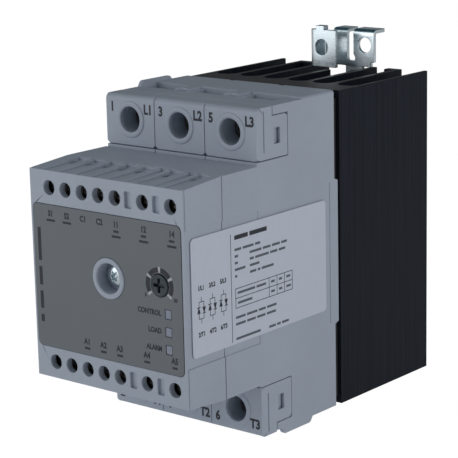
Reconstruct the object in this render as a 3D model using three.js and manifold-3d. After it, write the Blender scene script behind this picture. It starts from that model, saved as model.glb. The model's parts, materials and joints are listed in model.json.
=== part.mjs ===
// Three-pole solid state relay with a plug-on control module, on a DIN rail bracket.
// Millimetres. +Z is up, -Y is the front, +X is to the right seen from the front.
// The origin is on the rear plane of the rail plate, at mid width, on the rail's centre line.
import * as THREE from 'three';
import { mergeVertices } from 'three/addons/utils/BufferGeometryUtils.js';
import Module from 'manifold-3d';

const wasm = await Module();
wasm.setup();

// ---- Driving dimensions -------------------------------------------------------------------
const GAP = 0.3;

const BODY_WIDTH = 69;
const BODY_HEIGHT = 116.2;
const MODULE_WIDTH = 70;
const MODULE_FRONT_Y = -143;
const MODULE_SPLIT_Y = -123.25;
const BODY_FRONT_Y = -103.8;
const BODY_REAR_Y = -60;
const SINK_FRONT_Y = -56.7;
const SINK_REAR_Y = -0.3;
const SINK_HEIGHT = 116.4;

const MODULE_EDGE_Z = 37.2;
const MODULE_TOP_Z = 38.7;
const MODULE_WALL = 1.8;
const SIDE_BAND_Z = 23.5;
const SIDE_BAND_DEPTH = 0.4;

const POLE_PITCH = 23;
const POLES = [1, 2, 3];
const COVER_EDGE_Z = 40;
const POWER_SCREW_Z = 49.4;
const POWER_HOLE_R = 4.65;
const CAGE_HALF_X = 5.2;
const ENTRY_FRONT_Y = -83.5;
const ENTRY_REAR_Y = -78.3;
const ENTRY_LEFT = -9.5;
const ENTRY_RIGHT = 5.7;

const CONTROL_SCREW_Z = 31.2;
const CONTROL_HOLE_R = 2.8;
const UPPER_SCREWS = { S1: -25.8, S2: -18.1, C1: -10.4, C2: -2.8, 11: 4.8, 12: 17.15, 14: 29.5 };
const LOWER_SCREWS = { A1: -10.6, A2: -3.0, A3: 4.6, A4: 16.95, A5: 29.35 };
const EMPTY_HOLES = [-26.0, -18.3];
const UPPER_SLOTS = [10.8, 23.3];
const LOWER_SLOTS = [10.7, 23.1];

const PANEL = { left: -33.9, right: 33.7, low: -25.9, high: 25.2, radius: 1.9 };
const FIXING = { x: 1, z: 3, rim: 7.1, boss: 6.9, well: 5.4, hole: 2.3 };
const DIAL = { x: 24, z: 4.1, radius: 3.8 };
const LAMP = { x: 27.4, width: 2.5, height: 3, rows: [-5.4, -11.5, -17.6] };

const FIN_PITCH = 11.4;
const FIN_GAP = 9;
const FIN_ROOT_Y = -46.2;
const RAIL_HEIGHT = 35;
const SHEET = 1.5;

// ---- Small tools --------------------------------------------------------------------------
function solid(geometry) {
  geometry.deleteAttribute('normal');
  geometry.deleteAttribute('uv');
  const merged = mergeVertices(geometry, 1e-4);
  const mesh = new wasm.Mesh({
    numProp: 3,
    vertProperties: new Float32Array(merged.attributes.position.array),
    triVerts: new Uint32Array(merged.index.array),
  });
  return new wasm.Manifold(mesh);
}

function surface(body) {
  const mesh = body.getMesh();
  const geometry = new THREE.BufferGeometry();
  geometry.setAttribute('position', new THREE.BufferAttribute(new Float32Array(mesh.vertProperties), 3));
  geometry.setIndex(new THREE.BufferAttribute(new Uint32Array(mesh.triVerts), 1));
  geometry.computeVertexNormals();
  return geometry;
}

function block(x0, x1, y0, y1, z0, z1) {
  const box = new THREE.BoxGeometry(x1 - x0, y1 - y0, z1 - z0);
  box.translate((x0 + x1) / 2, (y0 + y1) / 2, (z0 + z1) / 2);
  return solid(box);
}

// An outline is drawn in (y, z), (x, z) or (x, y) and carried along the third axis.
const AXES = {
  x: [new THREE.Vector3(0, 1, 0), new THREE.Vector3(0, 0, 1), new THREE.Vector3(1, 0, 0)],
  y: [new THREE.Vector3(1, 0, 0), new THREE.Vector3(0, 0, 1), new THREE.Vector3(0, -1, 0)],
  z: [new THREE.Vector3(1, 0, 0), new THREE.Vector3(0, 1, 0), new THREE.Vector3(0, 0, 1)],
};

function prism(axis, outline, from, to, arcSteps = 6) {
  const settings = { depth: to - from, bevelEnabled: false, curveSegments: arcSteps };
  const geometry = new THREE.ExtrudeGeometry(outline, settings);
  const [u, v, w] = AXES[axis];
  const start = w.clone().multiplyScalar(axis === 'y' ? -to : from);
  geometry.applyMatrix4(new THREE.Matrix4().makeBasis(u, v, w).setPosition(start));
  return solid(geometry);
}

function polygon(points) {
  return new THREE.Shape(points.map(([u, v]) => new THREE.Vector2(u, v)));
}

function roundedRectangle(u0, u1, v0, v1, r) {
  const shape = new THREE.Shape();
  shape.moveTo(u0 + r, v0);
  shape.lineTo(u1 - r, v0);
  shape.absarc(u1 - r, v0 + r, r, -Math.PI / 2, 0);
  shape.lineTo(u1, v1 - r);
  shape.absarc(u1 - r, v1 - r, r, 0, Math.PI / 2);
  shape.lineTo(u0 + r, v1);
  shape.absarc(u0 + r, v1 - r, r, Math.PI / 2, Math.PI);
  shape.lineTo(u0, v0 + r);
  shape.absarc(u0 + r, v0 + r, r, Math.PI, 1.5 * Math.PI);
  return shape;
}

function rod(x, z, r, y0, y1, sides = 24) {
  const cylinder = new THREE.CylinderGeometry(r, r, y1 - y0, sides);
  cylinder.translate(x, (y0 + y1) / 2, z);
  return solid(cylinder);
}

function uprightRod(x, y, r, z0, z1, sides = 20) {
  const cylinder = new THREE.CylinderGeometry(r, r, z1 - z0, sides);
  cylinder.rotateX(Math.PI / 2);
  cylinder.translate(x, y, (z0 + z1) / 2);
  return solid(cylinder);
}

function join(...bodies) {
  return bodies.reduce((whole, body) => whole.add(body));
}

function cut(body, ...tools) {
  return tools.reduce((rest, tool) => rest.subtract(tool), body);
}

const relay = new THREE.Group();

function finish(color, roughness, metalness) {
  return new THREE.MeshStandardMaterial({ color, roughness, metalness });
}

function place(name, body, material, [x, y, z] = [0, 0, 0], parent = relay) {
  const geometry = body.isBufferGeometry ? body : surface(body);
  const mesh = new THREE.Mesh(geometry, material.clone());
  mesh.name = name;
  mesh.position.set(x, y, z);
  parent.add(mesh);
  return mesh;
}

const GREY_PLASTIC = finish(0xa9adb4, 0.55, 0);
const DARK_PANEL = finish(0x6d6f71, 0.6, 0);
const LABEL_FILM = finish(0xd4d9e4, 0.45, 0);
const BLACK_PLASTIC = finish(0x1b1c1e, 0.5, 0);
const ANODISED = finish(0x15171b, 0.4, 0.9);
const ZINC = finish(0xc5cdd2, 0.3, 1);
const SCREW_STEEL = finish(0x8c7668, 0.35, 1);
const COPPER = finish(0xb8744e, 0.35, 1);
const BOARD_GREEN = finish(0x2f5d3a, 0.6, 0);
const CLEAR = finish(0xbfc4d6, 0.2, 0);
const SPRING_STEEL = finish(0x9aa0a6, 0.3, 1);
const WHITE_CERAMIC = finish(0xd8d8d2, 0.6, 0);

// ---- Heat sink: an extruded fin profile, open at the top, the bottom and the rear ------------
const INNER_FIN_REAR_Y = -1.9;
const MIDDLE_FIN_REAR_Y = -16.5;
const LIP_FRONT_Y = -5;
const LIP_X = 17.8;

function finSlot(centre, rearY) {
  const half = FIN_GAP / 2;
  const slot = new THREE.Shape();
  slot.moveTo(centre - half, rearY);
  slot.lineTo(centre - half, FIN_ROOT_Y + half);
  slot.absarc(centre, FIN_ROOT_Y + half, half, Math.PI, 2 * Math.PI);
  slot.lineTo(centre + half, rearY);
  return prism('z', slot, -SINK_HEIGHT / 2 - 1, SINK_HEIGHT / 2 + 1, 12);
}

function heatSink() {
  const half = BODY_WIDTH / 2;
  const top = SINK_HEIGHT / 2 + 1;
  let sink = block(-half, half, SINK_FRONT_Y, SINK_REAR_Y, -SINK_HEIGHT / 2, SINK_HEIGHT / 2);
  for (const side of [-1, 1]) {
    sink = cut(sink, finSlot(side * FIN_PITCH * 0.5, 1));
    sink = cut(sink, finSlot(side * FIN_PITCH * 1.5, LIP_FRONT_Y));
    sink = cut(sink, finSlot(side * FIN_PITCH * 2.5, 1));
    const mouth = [side * (LIP_X - 5.2), side * LIP_X].sort((a, b) => a - b);
    sink = cut(sink, block(mouth[0], mouth[1], LIP_FRONT_Y - 1, 1, -top, top));
  }
  const middle = block(-1.3, 1.3, MIDDLE_FIN_REAR_Y, 1, -top, top);
  const innerRear = block(-24, 24, INNER_FIN_REAR_Y, 1, -top, top);
  return cut(sink, middle, innerRear);
}
place('heat_sink', heatSink(), ANODISED);

// ---- Base plate and thyristor modules between the housing and the heat sink -----------------
const MODULE_HALF = { x: 9, z: 39 };

function basePlate() {
  let plate = block(-33.2, 33.2, -59.7, SINK_FRONT_Y - GAP, -55.5, 55.5);
  for (const pole of POLES) {
    const x = (pole - 2) * POLE_PITCH;
    const dx = MODULE_HALF.x + GAP;
    const dz = MODULE_HALF.z + GAP;
    plate = cut(plate, block(x - dx, x + dx, -61, SINK_FRONT_Y + 1, -dz, dz));
  }
  return plate;
}
place('base_plate', basePlate(), BLACK_PLASTIC);

const thyristorModule = surface(join(
  block(-MODULE_HALF.x, MODULE_HALF.x, -58.4, -57, -MODULE_HALF.z, MODULE_HALF.z),
  block(-7, 7, -61.9, -58.3, -38, -33.5),
  block(-7, 7, -61.9, -58.3, 33.5, 38),
  block(-6, 6, -60.4, -58.3, -18, -6),
  block(-6, 6, -60.4, -58.3, 6, 18),
));
for (const pole of POLES) {
  place(`thyristor_module_${pole}`, thyristorModule, WHITE_CERAMIC, [(pole - 2) * POLE_PITCH, 0, 0]);
}

// ---- Power housing ----------------------------------------------------------------------------
const HALF_BODY = BODY_WIDTH / 2;
const TOP_Z = BODY_HEIGHT / 2;
const CHEEK = 1.2;
const CHEEK_REAR_Y = -86.8;
const CHEEK_STEP_Y = -95.2;
const CHEEK_STEP_Z = 54.7;
const CHEEK_CORNER = 1.4;
const COVER_SHEET = 2.2;
const COVER_ROUND = 2;
const COVER_CHAMFER = 0.9;
const POCKET = { halfX: 5.7, frontY: -92, rearY: -74.6, lowZ: 43.6, highZ: 55.2 };
const WING_HEIGHT = 2.1;
const LOAD_WING_SHIFT = -5.3;
const CATCH_SHEET = 1;
const DECK_HEIGHT = 0.75;
const DECK_ROUND = 1.3;
const LEAD_IN = 0.6;
const ROOF_ROOT = 0.5;
const WING = { left: -11.5, right: -9.8, frontY: -87.2, rearY: -68.6 };
const GUIDE = { right: 12, frontY: -87.6, hollowX: 9, hollowY: -86.6, hollowRadius: 2.7 };
const ROOF_MARK = { x: -3.1, y: -66.6, radius: 0.9, depth: 0.6 };
const FINGER_POCKET = { frontY: -94.4, floorY: -92.7, rearY: -91, low: 44.8, high: 50.4 };
const SIDE_LINE = { frontY: -100.1, rearY: -99.55, low: 42.6, high: 56.8, depth: 0.6 };
const RIM = { radius: 6.3, height: 0.35 };

// One terminal, drawn for the line side of a pole at x = 0. The load side is the same, turned over.
function terminalCavity() {
  const bore = rod(0, POWER_SCREW_Z, 4.8, -105, -93.2);
  const neck = rod(0, POWER_SCREW_Z, 2.9, -93.3, POCKET.frontY + 0.1, 16);
  const { halfX, frontY, rearY, lowZ, highZ } = POCKET;
  const pocket = block(-halfX, halfX, frontY, rearY, lowZ, highZ);
  const entry = block(ENTRY_LEFT, ENTRY_RIGHT, ENTRY_FRONT_Y, ENTRY_REAR_Y, 46.5, TOP_Z + 5);
  const barSlot = block(-4.2, 4.2, -85, -82, 37, lowZ + 0.1);
  return join(bore, neck, pocket, entry, barSlot);
}

function coverRecess() {
  const far = HALF_BODY + 1;
  const inner = HALF_BODY - CHEEK - GAP;
  const front = block(-far, far, -105, BODY_FRONT_Y + COVER_SHEET + GAP, COVER_EDGE_Z - GAP, TOP_Z + 1);
  const roof = block(-far, far, -105, CHEEK_STEP_Y + GAP, TOP_Z - COVER_SHEET - GAP, TOP_Z + 1);
  const outline = polygon([
    [-105, COVER_EDGE_Z - GAP],
    [CHEEK_REAR_Y + GAP, COVER_EDGE_Z - GAP],
    [CHEEK_REAR_Y + GAP, CHEEK_STEP_Z + GAP],
    [CHEEK_STEP_Y + GAP, CHEEK_STEP_Z + GAP],
    [CHEEK_STEP_Y + GAP, TOP_Z + 1],
    [-105, TOP_Z + 1],
  ]);
  return join(front, roof, prism('x', outline, inner, far), prism('x', outline, -far, -inner));
}

// A thin wall left of the outer wire entry, with leaning ends.
function wing() {
  const root = TOP_Z - ROOF_ROOT;
  const outline = polygon([
    [WING.frontY, root],
    [WING.rearY, root],
    [WING.rearY - 1.4, TOP_Z + WING_HEIGHT - 0.6],
    [WING.rearY - 2.1, TOP_Z + WING_HEIGHT],
    [WING.frontY + 2, TOP_Z + WING_HEIGHT],
    [WING.frontY + 1.2, TOP_Z + WING_HEIGHT - 0.6],
  ]);
  return prism('x', outline, WING.left, WING.right);
}

// A raised pad right of each wire entry, with a hollow front face between two thin walls.
function guide() {
  const root = TOP_Z - ROOF_ROOT;
  const outline = polygon([
    [GUIDE.frontY, root],
    [ENTRY_REAR_Y + 1, root],
    [ENTRY_REAR_Y + 1, TOP_Z + DECK_HEIGHT],
    [GUIDE.frontY + 2, TOP_Z + DECK_HEIGHT],
  ]);
  const { hollowX, hollowY, hollowRadius } = GUIDE;
  const hollow = uprightRod(hollowX, hollowY, hollowRadius, root - 1, TOP_Z + 5, 32);
  return cut(prism('x', outline, ENTRY_RIGHT, GUIDE.right), hollow);
}

// The roof behind the wire entries, which stands higher and has rounded sides.
function deck() {
  const root = TOP_Z - ROOF_ROOT;
  const top = TOP_Z + DECK_HEIGHT;
  const outline = new THREE.Shape();
  outline.moveTo(-HALF_BODY, root);
  outline.lineTo(HALF_BODY, root);
  outline.quadraticCurveTo(HALF_BODY, top, HALF_BODY - DECK_ROUND, top);
  outline.lineTo(DECK_ROUND - HALF_BODY, top);
  outline.quadraticCurveTo(-HALF_BODY, top, -HALF_BODY, root);
  return prism('y', outline, ENTRY_REAR_Y, BODY_REAR_Y, 4);
}

// A shallow ramp in the roof that leads a wire down to its entry.
function leadIn() {
  const front = CHEEK_STEP_Y + GAP;
  const rear = ENTRY_REAR_Y - 1;
  const outline = polygon([[front, TOP_Z + 0.05], [rear, TOP_Z - LEAD_IN], [rear, TOP_Z + 0.05]]);
  return prism('x', outline, ENTRY_LEFT, ENTRY_RIGHT);
}

function flipped(body) {
  return body.mirror([0, 0, 1]);
}

// Half a turn about the Y axis, which takes a line side shape to the load side.
function turned(body) {
  return body.mirror([1, 0, 0]).mirror([0, 0, 1]);
}

function powerHousing() {
  let housing = block(-HALF_BODY, HALF_BODY, BODY_FRONT_Y, BODY_REAR_Y, -TOP_Z, TOP_Z);
  housing = join(housing, deck());
  housing = cut(housing, coverRecess(), flipped(coverRecess()));
  housing = cut(housing, block(-HALF_BODY - 1, HALF_BODY + 1, -95.5, -92.4, -TOP_Z - 1, -TOP_Z + 0.4));
  housing = cut(housing, block(-32.3, 32.3, -101.5, -71, -38, 38));
  housing = cut(housing, block(-32.3, 32.3, -72, -59, -52, 52));
  for (const pole of POLES) {
    const x = (pole - 2) * POLE_PITCH;
    const lineCavity = join(terminalCavity(), leadIn()).translate([x, 0, 0]);
    const loadCavity = turned(terminalCavity()).translate([x, 0, 0]);
    housing = cut(housing, lineCavity, loadCavity);
    if (pole < 3) {
      housing = join(housing, guide().translate([x, 0, 0]));
    }
    const { x: markX, y: markY, radius, depth } = ROOF_MARK;
    const mark = uprightRod(x + markX, markY, radius, TOP_Z - depth, TOP_Z + 2, 12);
    housing = cut(housing, mark);
  }
  const outerWing = wing().translate([-POLE_PITCH, 0, 0]);
  housing = join(housing, outerWing, turned(outerWing).translate([0, LOAD_WING_SHIFT, 0]));
  for (const x of [-POLE_PITCH / 2, POLE_PITCH / 2]) {
    const rearGroove = block(x - 1, x + 1, BODY_REAR_Y - 0.8, BODY_REAR_Y + 1, -60, 60);
    const seamRear = BODY_FRONT_Y + 0.4;
    const frontSeam = block(x - 0.2, x + 0.2, BODY_FRONT_Y - 1, seamRear, -COVER_EDGE_Z, COVER_EDGE_Z);
    housing = cut(housing, rearGroove, frontSeam);
  }
  for (const side of [-1, 1]) {
    const outer = side * HALF_BODY;
    const x0 = Math.min(outer, outer - side * CATCH_SHEET);
    const groove = block(outer - 0.4, outer + 0.4, -63.3, -62.7, -26, 26);
    const outline = polygon([[-62, -27.6], [-57.9, -26.2], [-57.9, 26.2], [-62, 27.6]]);
    housing = cut(join(housing, prism('x', outline, x0, x0 + CATCH_SHEET)), groove);
  }
  housing = cut(housing, rod(FIXING.x, FIXING.z, 2.2, -105, -100, 16));
  return cut(housing, block(-17.3, -2.7, -105, -100, 15.7, 20.3));
}
place('power_housing', powerHousing(), GREY_PLASTIC);

// ---- Pull-off terminal covers --------------------------------------------------------------------
function terminalCover(pole) {
  const left = pole === 1 ? -HALF_BODY : (pole - 2) * POLE_PITCH - POLE_PITCH / 2 + 0.15;
  const right = pole === 3 ? HALF_BODY : (pole - 2) * POLE_PITCH + POLE_PITCH / 2 - 0.15;
  const x = (pole - 2) * POLE_PITCH;
  const inner = BODY_FRONT_Y + COVER_SHEET;
  const shell = new THREE.Shape();
  shell.moveTo(BODY_FRONT_Y, COVER_EDGE_Z);
  shell.lineTo(inner, COVER_EDGE_Z);
  shell.lineTo(inner, TOP_Z - COVER_SHEET);
  shell.lineTo(CHEEK_STEP_Y, TOP_Z - COVER_SHEET);
  shell.lineTo(CHEEK_STEP_Y, TOP_Z);
  shell.lineTo(BODY_FRONT_Y + COVER_ROUND, TOP_Z);
  shell.absarc(BODY_FRONT_Y + COVER_ROUND, TOP_Z - COVER_ROUND, COVER_ROUND, Math.PI / 2, Math.PI);
  let cover = prism('x', shell, left, right);
  cover = join(cover, rod(x, POWER_SCREW_Z, RIM.radius, BODY_FRONT_Y - RIM.height, BODY_FRONT_Y + 1, 24));
  cover = cut(cover, rod(x, POWER_SCREW_Z, POWER_HOLE_R, BODY_FRONT_Y - 2, inner + 1, 24));
  for (const [corner, inward] of [[left, 1], [right, -1]]) {
    const chamfer = polygon([
      [corner - inward, COVER_EDGE_Z - 1],
      [corner + inward * COVER_CHAMFER, COVER_EDGE_Z - 1],
      [corner + inward * COVER_CHAMFER, COVER_EDGE_Z],
      [corner, COVER_EDGE_Z + COVER_CHAMFER],
      [corner - inward, COVER_EDGE_Z + COVER_CHAMFER],
    ]);
    cover = cut(cover, prism('y', chamfer, BODY_FRONT_Y - 1, inner));
  }
  if (pole === 2) {
    return cover;
  }
  const side = pole - 2;
  const x0 = side > 0 ? HALF_BODY - CHEEK : -HALF_BODY;
  const cheek = polygon([
    [inner - 1, COVER_EDGE_Z],
    [CHEEK_REAR_Y, COVER_EDGE_Z],
    [CHEEK_REAR_Y, CHEEK_STEP_Z - CHEEK_CORNER],
    [CHEEK_REAR_Y - 0.3 * CHEEK_CORNER, CHEEK_STEP_Z - 0.3 * CHEEK_CORNER],
    [CHEEK_REAR_Y - CHEEK_CORNER, CHEEK_STEP_Z],
    [CHEEK_STEP_Y, CHEEK_STEP_Z],
    [CHEEK_STEP_Y, TOP_Z - 0.1],
    [inner - 1, TOP_Z - 0.1],
  ]);
  cover = join(cover, prism('x', cheek, x0, x0 + CHEEK));
  const face = side * HALF_BODY;
  const through = face - side * (CHEEK + 0.1);
  const pocketOutline = polygon([
    [face + side, FINGER_POCKET.frontY],
    [face - side * 0.1, FINGER_POCKET.frontY],
    [through, FINGER_POCKET.floorY],
    [through, FINGER_POCKET.rearY],
    [face + side, FINGER_POCKET.rearY],
  ]);
  const pocket = prism('z', pocketOutline, FINGER_POCKET.low, FINGER_POCKET.high);
  const { frontY, rearY, low, high, depth } = SIDE_LINE;
  return cut(cover, pocket, block(face - depth, face + depth, frontY, rearY, low, high));
}
for (const pole of POLES) {
  place(`line_cover_${pole}`, terminalCover(pole), GREY_PLASTIC);
  place(`load_cover_${pole}`, flipped(terminalCover(pole)), GREY_PLASTIC);
}

// ---- Power terminals: screw, rising cage and terminal bar -----------------------------------------
const powerScrew = surface(cut(
  join(rod(0, 0, 4.1, -96.6, -93.6, 20), rod(0, 0, 2.4, -93.7, -85, 12)),
  block(-0.6, 0.6, -97, -94.9, -2.8, 2.8),
  block(-2.8, 2.8, -97, -94.9, -0.6, 0.6),
));

const clampCage = surface(cut(
  block(-CAGE_HALF_X, CAGE_HALF_X, -86.6, -75.2, -5, 5),
  block(-4, 4, -84.8, -77, -6, 6),
  rod(0, 0, 2.7, -88, -84, 12),
));

function terminalBar(side) {
  const bar = join(
    block(-3.5, 3.5, -84.6, -83.2, 35, 54.4),
    block(-3.5, 3.5, -84.6, -62.2, 35, 36.4),
  );
  return side > 0 ? bar : flipped(bar);
}

for (const [index, side] of [['L', 1], ['T', -1]].entries()) {
  for (const pole of POLES) {
    const [letter, sign] = side;
    const mark = `${letter}${pole}`;
    const x = (pole - 2) * POLE_PITCH;
    place(`power_screw_${mark}`, powerScrew, SCREW_STEEL, [x, 0, sign * POWER_SCREW_Z]);
    place(`clamp_cage_${mark}`, clampCage, ZINC, [x, 0, sign * (POWER_SCREW_Z - 0.2)]);
    place(`terminal_bar_${mark}`, terminalBar(sign), COPPER, [x, 0, 0]);
  }
}

// ---- Boards inside the power housing ---------------------------------------------------------------
place('gate_board', block(-30, 30, -92, -90.4, -33, 33), BOARD_GREEN);
place('board_link', block(-17, -3, -118.1, -92.3, 16, 20), BLACK_PLASTIC);

// ---- Control module: front cover and rear case ---------------------------------------------------
const HALF_MODULE = MODULE_WIDTH / 2;

function moduleOutline(inset) {
  const front = MODULE_FRONT_Y + inset;
  const edge = MODULE_EDGE_Z - inset;
  const top = MODULE_TOP_Z - inset;
  return polygon([
    [front, -edge],
    [MODULE_SPLIT_Y - GAP / 2, -top],
    [MODULE_SPLIT_Y - GAP / 2, top],
    [front, edge],
  ]);
}

// A trough in the top face that leads a wire to its entry: a wall on the left, and a floor that
// deepens to the rear and rises to the right.
function scoop(left, right) {
  const floor = MODULE_EDGE_Z - 0.4;
  const above = MODULE_TOP_Z + 3;
  const front = MODULE_FRONT_Y + 0.6;
  const rear = MODULE_SPLIT_Y - 0.9;
  const along = polygon([[front, above], [front, floor], [rear, floor + 0.6], [rear, above]]);
  const across = polygon([[left, above], [left, floor - 0.1], [right, MODULE_TOP_Z + 0.2], [right, above]]);
  return prism('x', along, left, right).intersect(prism('y', across, front - 1, rear + 1));
}

// The troughs of one row: each runs from its own wall to the next one.
const SCREW_WALL = 3.4;
const SLOT_WALL = 1.4;
const LAST_TROUGH = 7.1;
const TROUGH_WALL = 0.25;
const SLOT_DEPTH = 1.2;

function scoops(holes, slots) {
  const walls = [...holes.map((x) => x - SCREW_WALL), ...slots.map((x) => x - SLOT_WALL)];
  walls.sort((a, b) => a - b);
  const ends = [...walls.slice(1), walls.at(-1) + LAST_TROUGH];
  return join(...walls.map((left, i) => scoop(left, ends[i] - TROUGH_WALL)));
}

const ENTRY_Y = MODULE_FRONT_Y + 15.2;

function sideBands(y0, y1) {
  const inner = HALF_MODULE - SIDE_BAND_DEPTH;
  return join(
    block(inner, HALF_MODULE + 1, y0, y1, -SIDE_BAND_Z, SIDE_BAND_Z),
    block(-HALF_MODULE - 1, -inner, y0, y1, -SIDE_BAND_Z, SIDE_BAND_Z),
  );
}

function controlCover() {
  const wall = MODULE_WALL;
  let cover = prism('x', moduleOutline(0), -HALF_MODULE, HALF_MODULE);
  const hollow = prism('x', moduleOutline(wall), -HALF_MODULE + wall, HALF_MODULE - wall);
  const mouth = block(-HALF_MODULE + wall, HALF_MODULE - wall, MODULE_SPLIT_Y - 1, -120, -36.9, 36.9);
  cover = cut(cover, hollow, mouth, sideBands(MODULE_FRONT_Y + 0.8, -120));
  for (const side of [-1, 1]) {
    const x = side * HALF_MODULE;
    cover = cut(cover, block(x - 0.3, x + 0.3, MODULE_FRONT_Y + 0.6, MODULE_FRONT_Y + 0.9, -40, 40));
  }
  const boss = rod(FIXING.x, FIXING.z, FIXING.boss, MODULE_FRONT_Y + 0.4, -136, 24);
  const rim = rod(FIXING.x, FIXING.z, FIXING.rim, MODULE_FRONT_Y - 0.5, MODULE_FRONT_Y + 1, 24);
  const { left, right, low, high, radius } = PANEL;
  const seat = roundedRectangle(left - 0.2, right + 0.2, low - 0.2, high + 0.2, radius + 0.2);
  cover = cut(cover, prism('y', seat, MODULE_FRONT_Y - 1, MODULE_FRONT_Y + 0.7));
  cover = join(cover, boss, rim);
  cover = cut(
    cover,
    rod(FIXING.x, FIXING.z, FIXING.well, MODULE_FRONT_Y - 1, -137.6, 24),
    rod(FIXING.x, FIXING.z, FIXING.hole, -138, -130, 12),
    rod(DIAL.x, DIAL.z, DIAL.radius + GAP, MODULE_FRONT_Y - 1, -139, 20),
  );
  for (const z of LAMP.rows) {
    cover = cut(cover, lampHole(z, 0.2));
  }
  const upper = Object.values(UPPER_SCREWS);
  const lower = [...EMPTY_HOLES, ...Object.values(LOWER_SCREWS)];
  for (const [holes, slots, turn] of [[upper, UPPER_SLOTS, 1], [lower, LOWER_SLOTS, -1]]) {
    const troughs = scoops(holes, slots);
    cover = cut(cover, turn > 0 ? troughs : flipped(troughs));
    for (const x of holes) {
      const entry = uprightRod(x - 1.4, ENTRY_Y, 2.2, 30, 42, 12);
      cover = cut(cover, turn > 0 ? entry : flipped(entry));
      cover = cut(cover, rod(x, turn * CONTROL_SCREW_Z, CONTROL_HOLE_R, MODULE_FRONT_Y - 1, -140, 16));
    }
    for (const x of slots) {
      const z = turn * CONTROL_SCREW_Z;
      const slot = roundedRectangle(x - 1.6, x + 1.6, z - 2.9, z + 2.9, 0.7);
      cover = cut(cover, prism('y', slot, MODULE_FRONT_Y - 1, MODULE_FRONT_Y + SLOT_DEPTH, 2));
    }
  }
  return cover;
}

function lampHole(z, margin) {
  const dx = LAMP.width / 2 + margin;
  const dz = LAMP.height / 2 + margin;
  return block(LAMP.x - dx, LAMP.x + dx, MODULE_FRONT_Y - 1, -139, z - dz, z + dz);
}
place('control_cover', controlCover(), GREY_PLASTIC);

function controlCase() {
  const front = MODULE_SPLIT_Y + GAP / 2;
  const rear = BODY_FRONT_Y - GAP;
  const wall = MODULE_WALL;
  let shell = block(-HALF_MODULE, HALF_MODULE, front, rear, -MODULE_TOP_Z, MODULE_TOP_Z);
  const hollow = block(
    -HALF_MODULE + wall, HALF_MODULE - wall, front - 1, rear - 2, -MODULE_TOP_Z + wall, MODULE_TOP_Z - wall,
  );
  shell = cut(shell, hollow, sideBands(-130, -100));
  shell = join(shell, rod(FIXING.x, FIXING.z, 4.5, -112, -105.5, 24));
  const screwHole = rod(FIXING.x, FIXING.z, FIXING.hole, -125, -100, 16);
  const linkOpening = block(-17.3, -2.7, -110, -100, 15.7, 20.3);
  return cut(shell, screwHole, linkOpening);
}
place('control_case', controlCase(), GREY_PLASTIC);

// ---- Face plate with openings for the rim, the dial and the lamps --------------------------------
function facePlate() {
  const { left, right, low, high, radius } = PANEL;
  const front = MODULE_FRONT_Y - 0.15;
  let plate = prism('y', roundedRectangle(left, right, low, high, radius), front, MODULE_FRONT_Y + 0.4);
  plate = cut(
    plate,
    rod(FIXING.x, FIXING.z, 7.35, MODULE_FRONT_Y - 2, -140, 24),
    rod(DIAL.x, DIAL.z, DIAL.radius + 0.3, MODULE_FRONT_Y - 2, -140, 20),
  );
  for (const z of LAMP.rows) {
    plate = cut(plate, lampHole(z, 0.2));
  }
  return plate;
}
place('face_plate', facePlate(), DARK_PANEL);

// ---- Rating label across the right side of both housings --------------------------------------------
const LABEL = { frontY: -139.9, rearY: -66.3, low: -20.3, high: 20.4 };
place('rating_label', prism(
  'x',
  roundedRectangle(LABEL.frontY, LABEL.rearY, LABEL.low, LABEL.high, 1.6),
  HALF_BODY + GAP,
  HALF_MODULE + 0.1,
), LABEL_FILM);

// ---- Control terminals ----------------------------------------------------------------------------------
function terminalBlock(positions) {
  let body = block(-30, 33, -138.8, -120.4, 26, 34.6);
  for (const x of positions) {
    body = cut(
      body,
      rod(x, CONTROL_SCREW_Z, 2.6, -140, -136.9, 12),
      rod(x, CONTROL_SCREW_Z, 1.7, -137, -130.9, 8),
      block(x - 2.3, x + 2.3, -131, -124, 28, 36),
    );
  }
  return body;
}
const upperPositions = Object.values(UPPER_SCREWS);
const lowerPositions = Object.values(LOWER_SCREWS);
place('upper_terminal_block', terminalBlock(upperPositions), BLACK_PLASTIC);
place('lower_terminal_block', flipped(terminalBlock([...EMPTY_HOLES, ...lowerPositions])), BLACK_PLASTIC);

const controlScrew = surface(cut(
  join(rod(0, 0, 2.25, -139.9, -137.4, 14), rod(0, 0, 1.4, -137.5, -130.4, 8)),
  block(-0.4, 0.4, -141, -138.8, -3, 3),
));
for (const [names, turn] of [[UPPER_SCREWS, 1], [LOWER_SCREWS, -1]]) {
  for (const [mark, x] of Object.entries(names)) {
    place(`control_screw_${mark}`, controlScrew, SCREW_STEEL, [x, 0, turn * CONTROL_SCREW_Z]);
  }
}

// ---- Control board and what it carries ---------------------------------------------------------------
function controlBoard() {
  const board = block(-31.5, 31.5, -120, -118.4, -34.5, 34.5);
  return cut(board, rod(FIXING.x, FIXING.z, 2.6, -125, -115, 16));
}
place('control_board', controlBoard(), BOARD_GREEN);
place('alarm_relay', block(-28, -9, -136, -120.3, -17, -6), BLACK_PLASTIC);
place('potentiometer', block(19.5, 28.5, -134, -120.3, -0.6, 8.8), BLACK_PLASTIC);

function lightPipe() {
  const dx = LAMP.width / 2;
  const dz = LAMP.height / 2;
  const bars = LAMP.rows.map((z) => block(
    LAMP.x - dx, LAMP.x + dx, MODULE_FRONT_Y - 0.1, -121.5, z - dz, z + dz,
  ));
  return join(...bars, block(LAMP.x - 1, LAMP.x + 1, -131, -129.5, LAMP.rows[2], LAMP.rows[0]));
}
place('light_pipe', lightPipe(), CLEAR);

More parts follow.
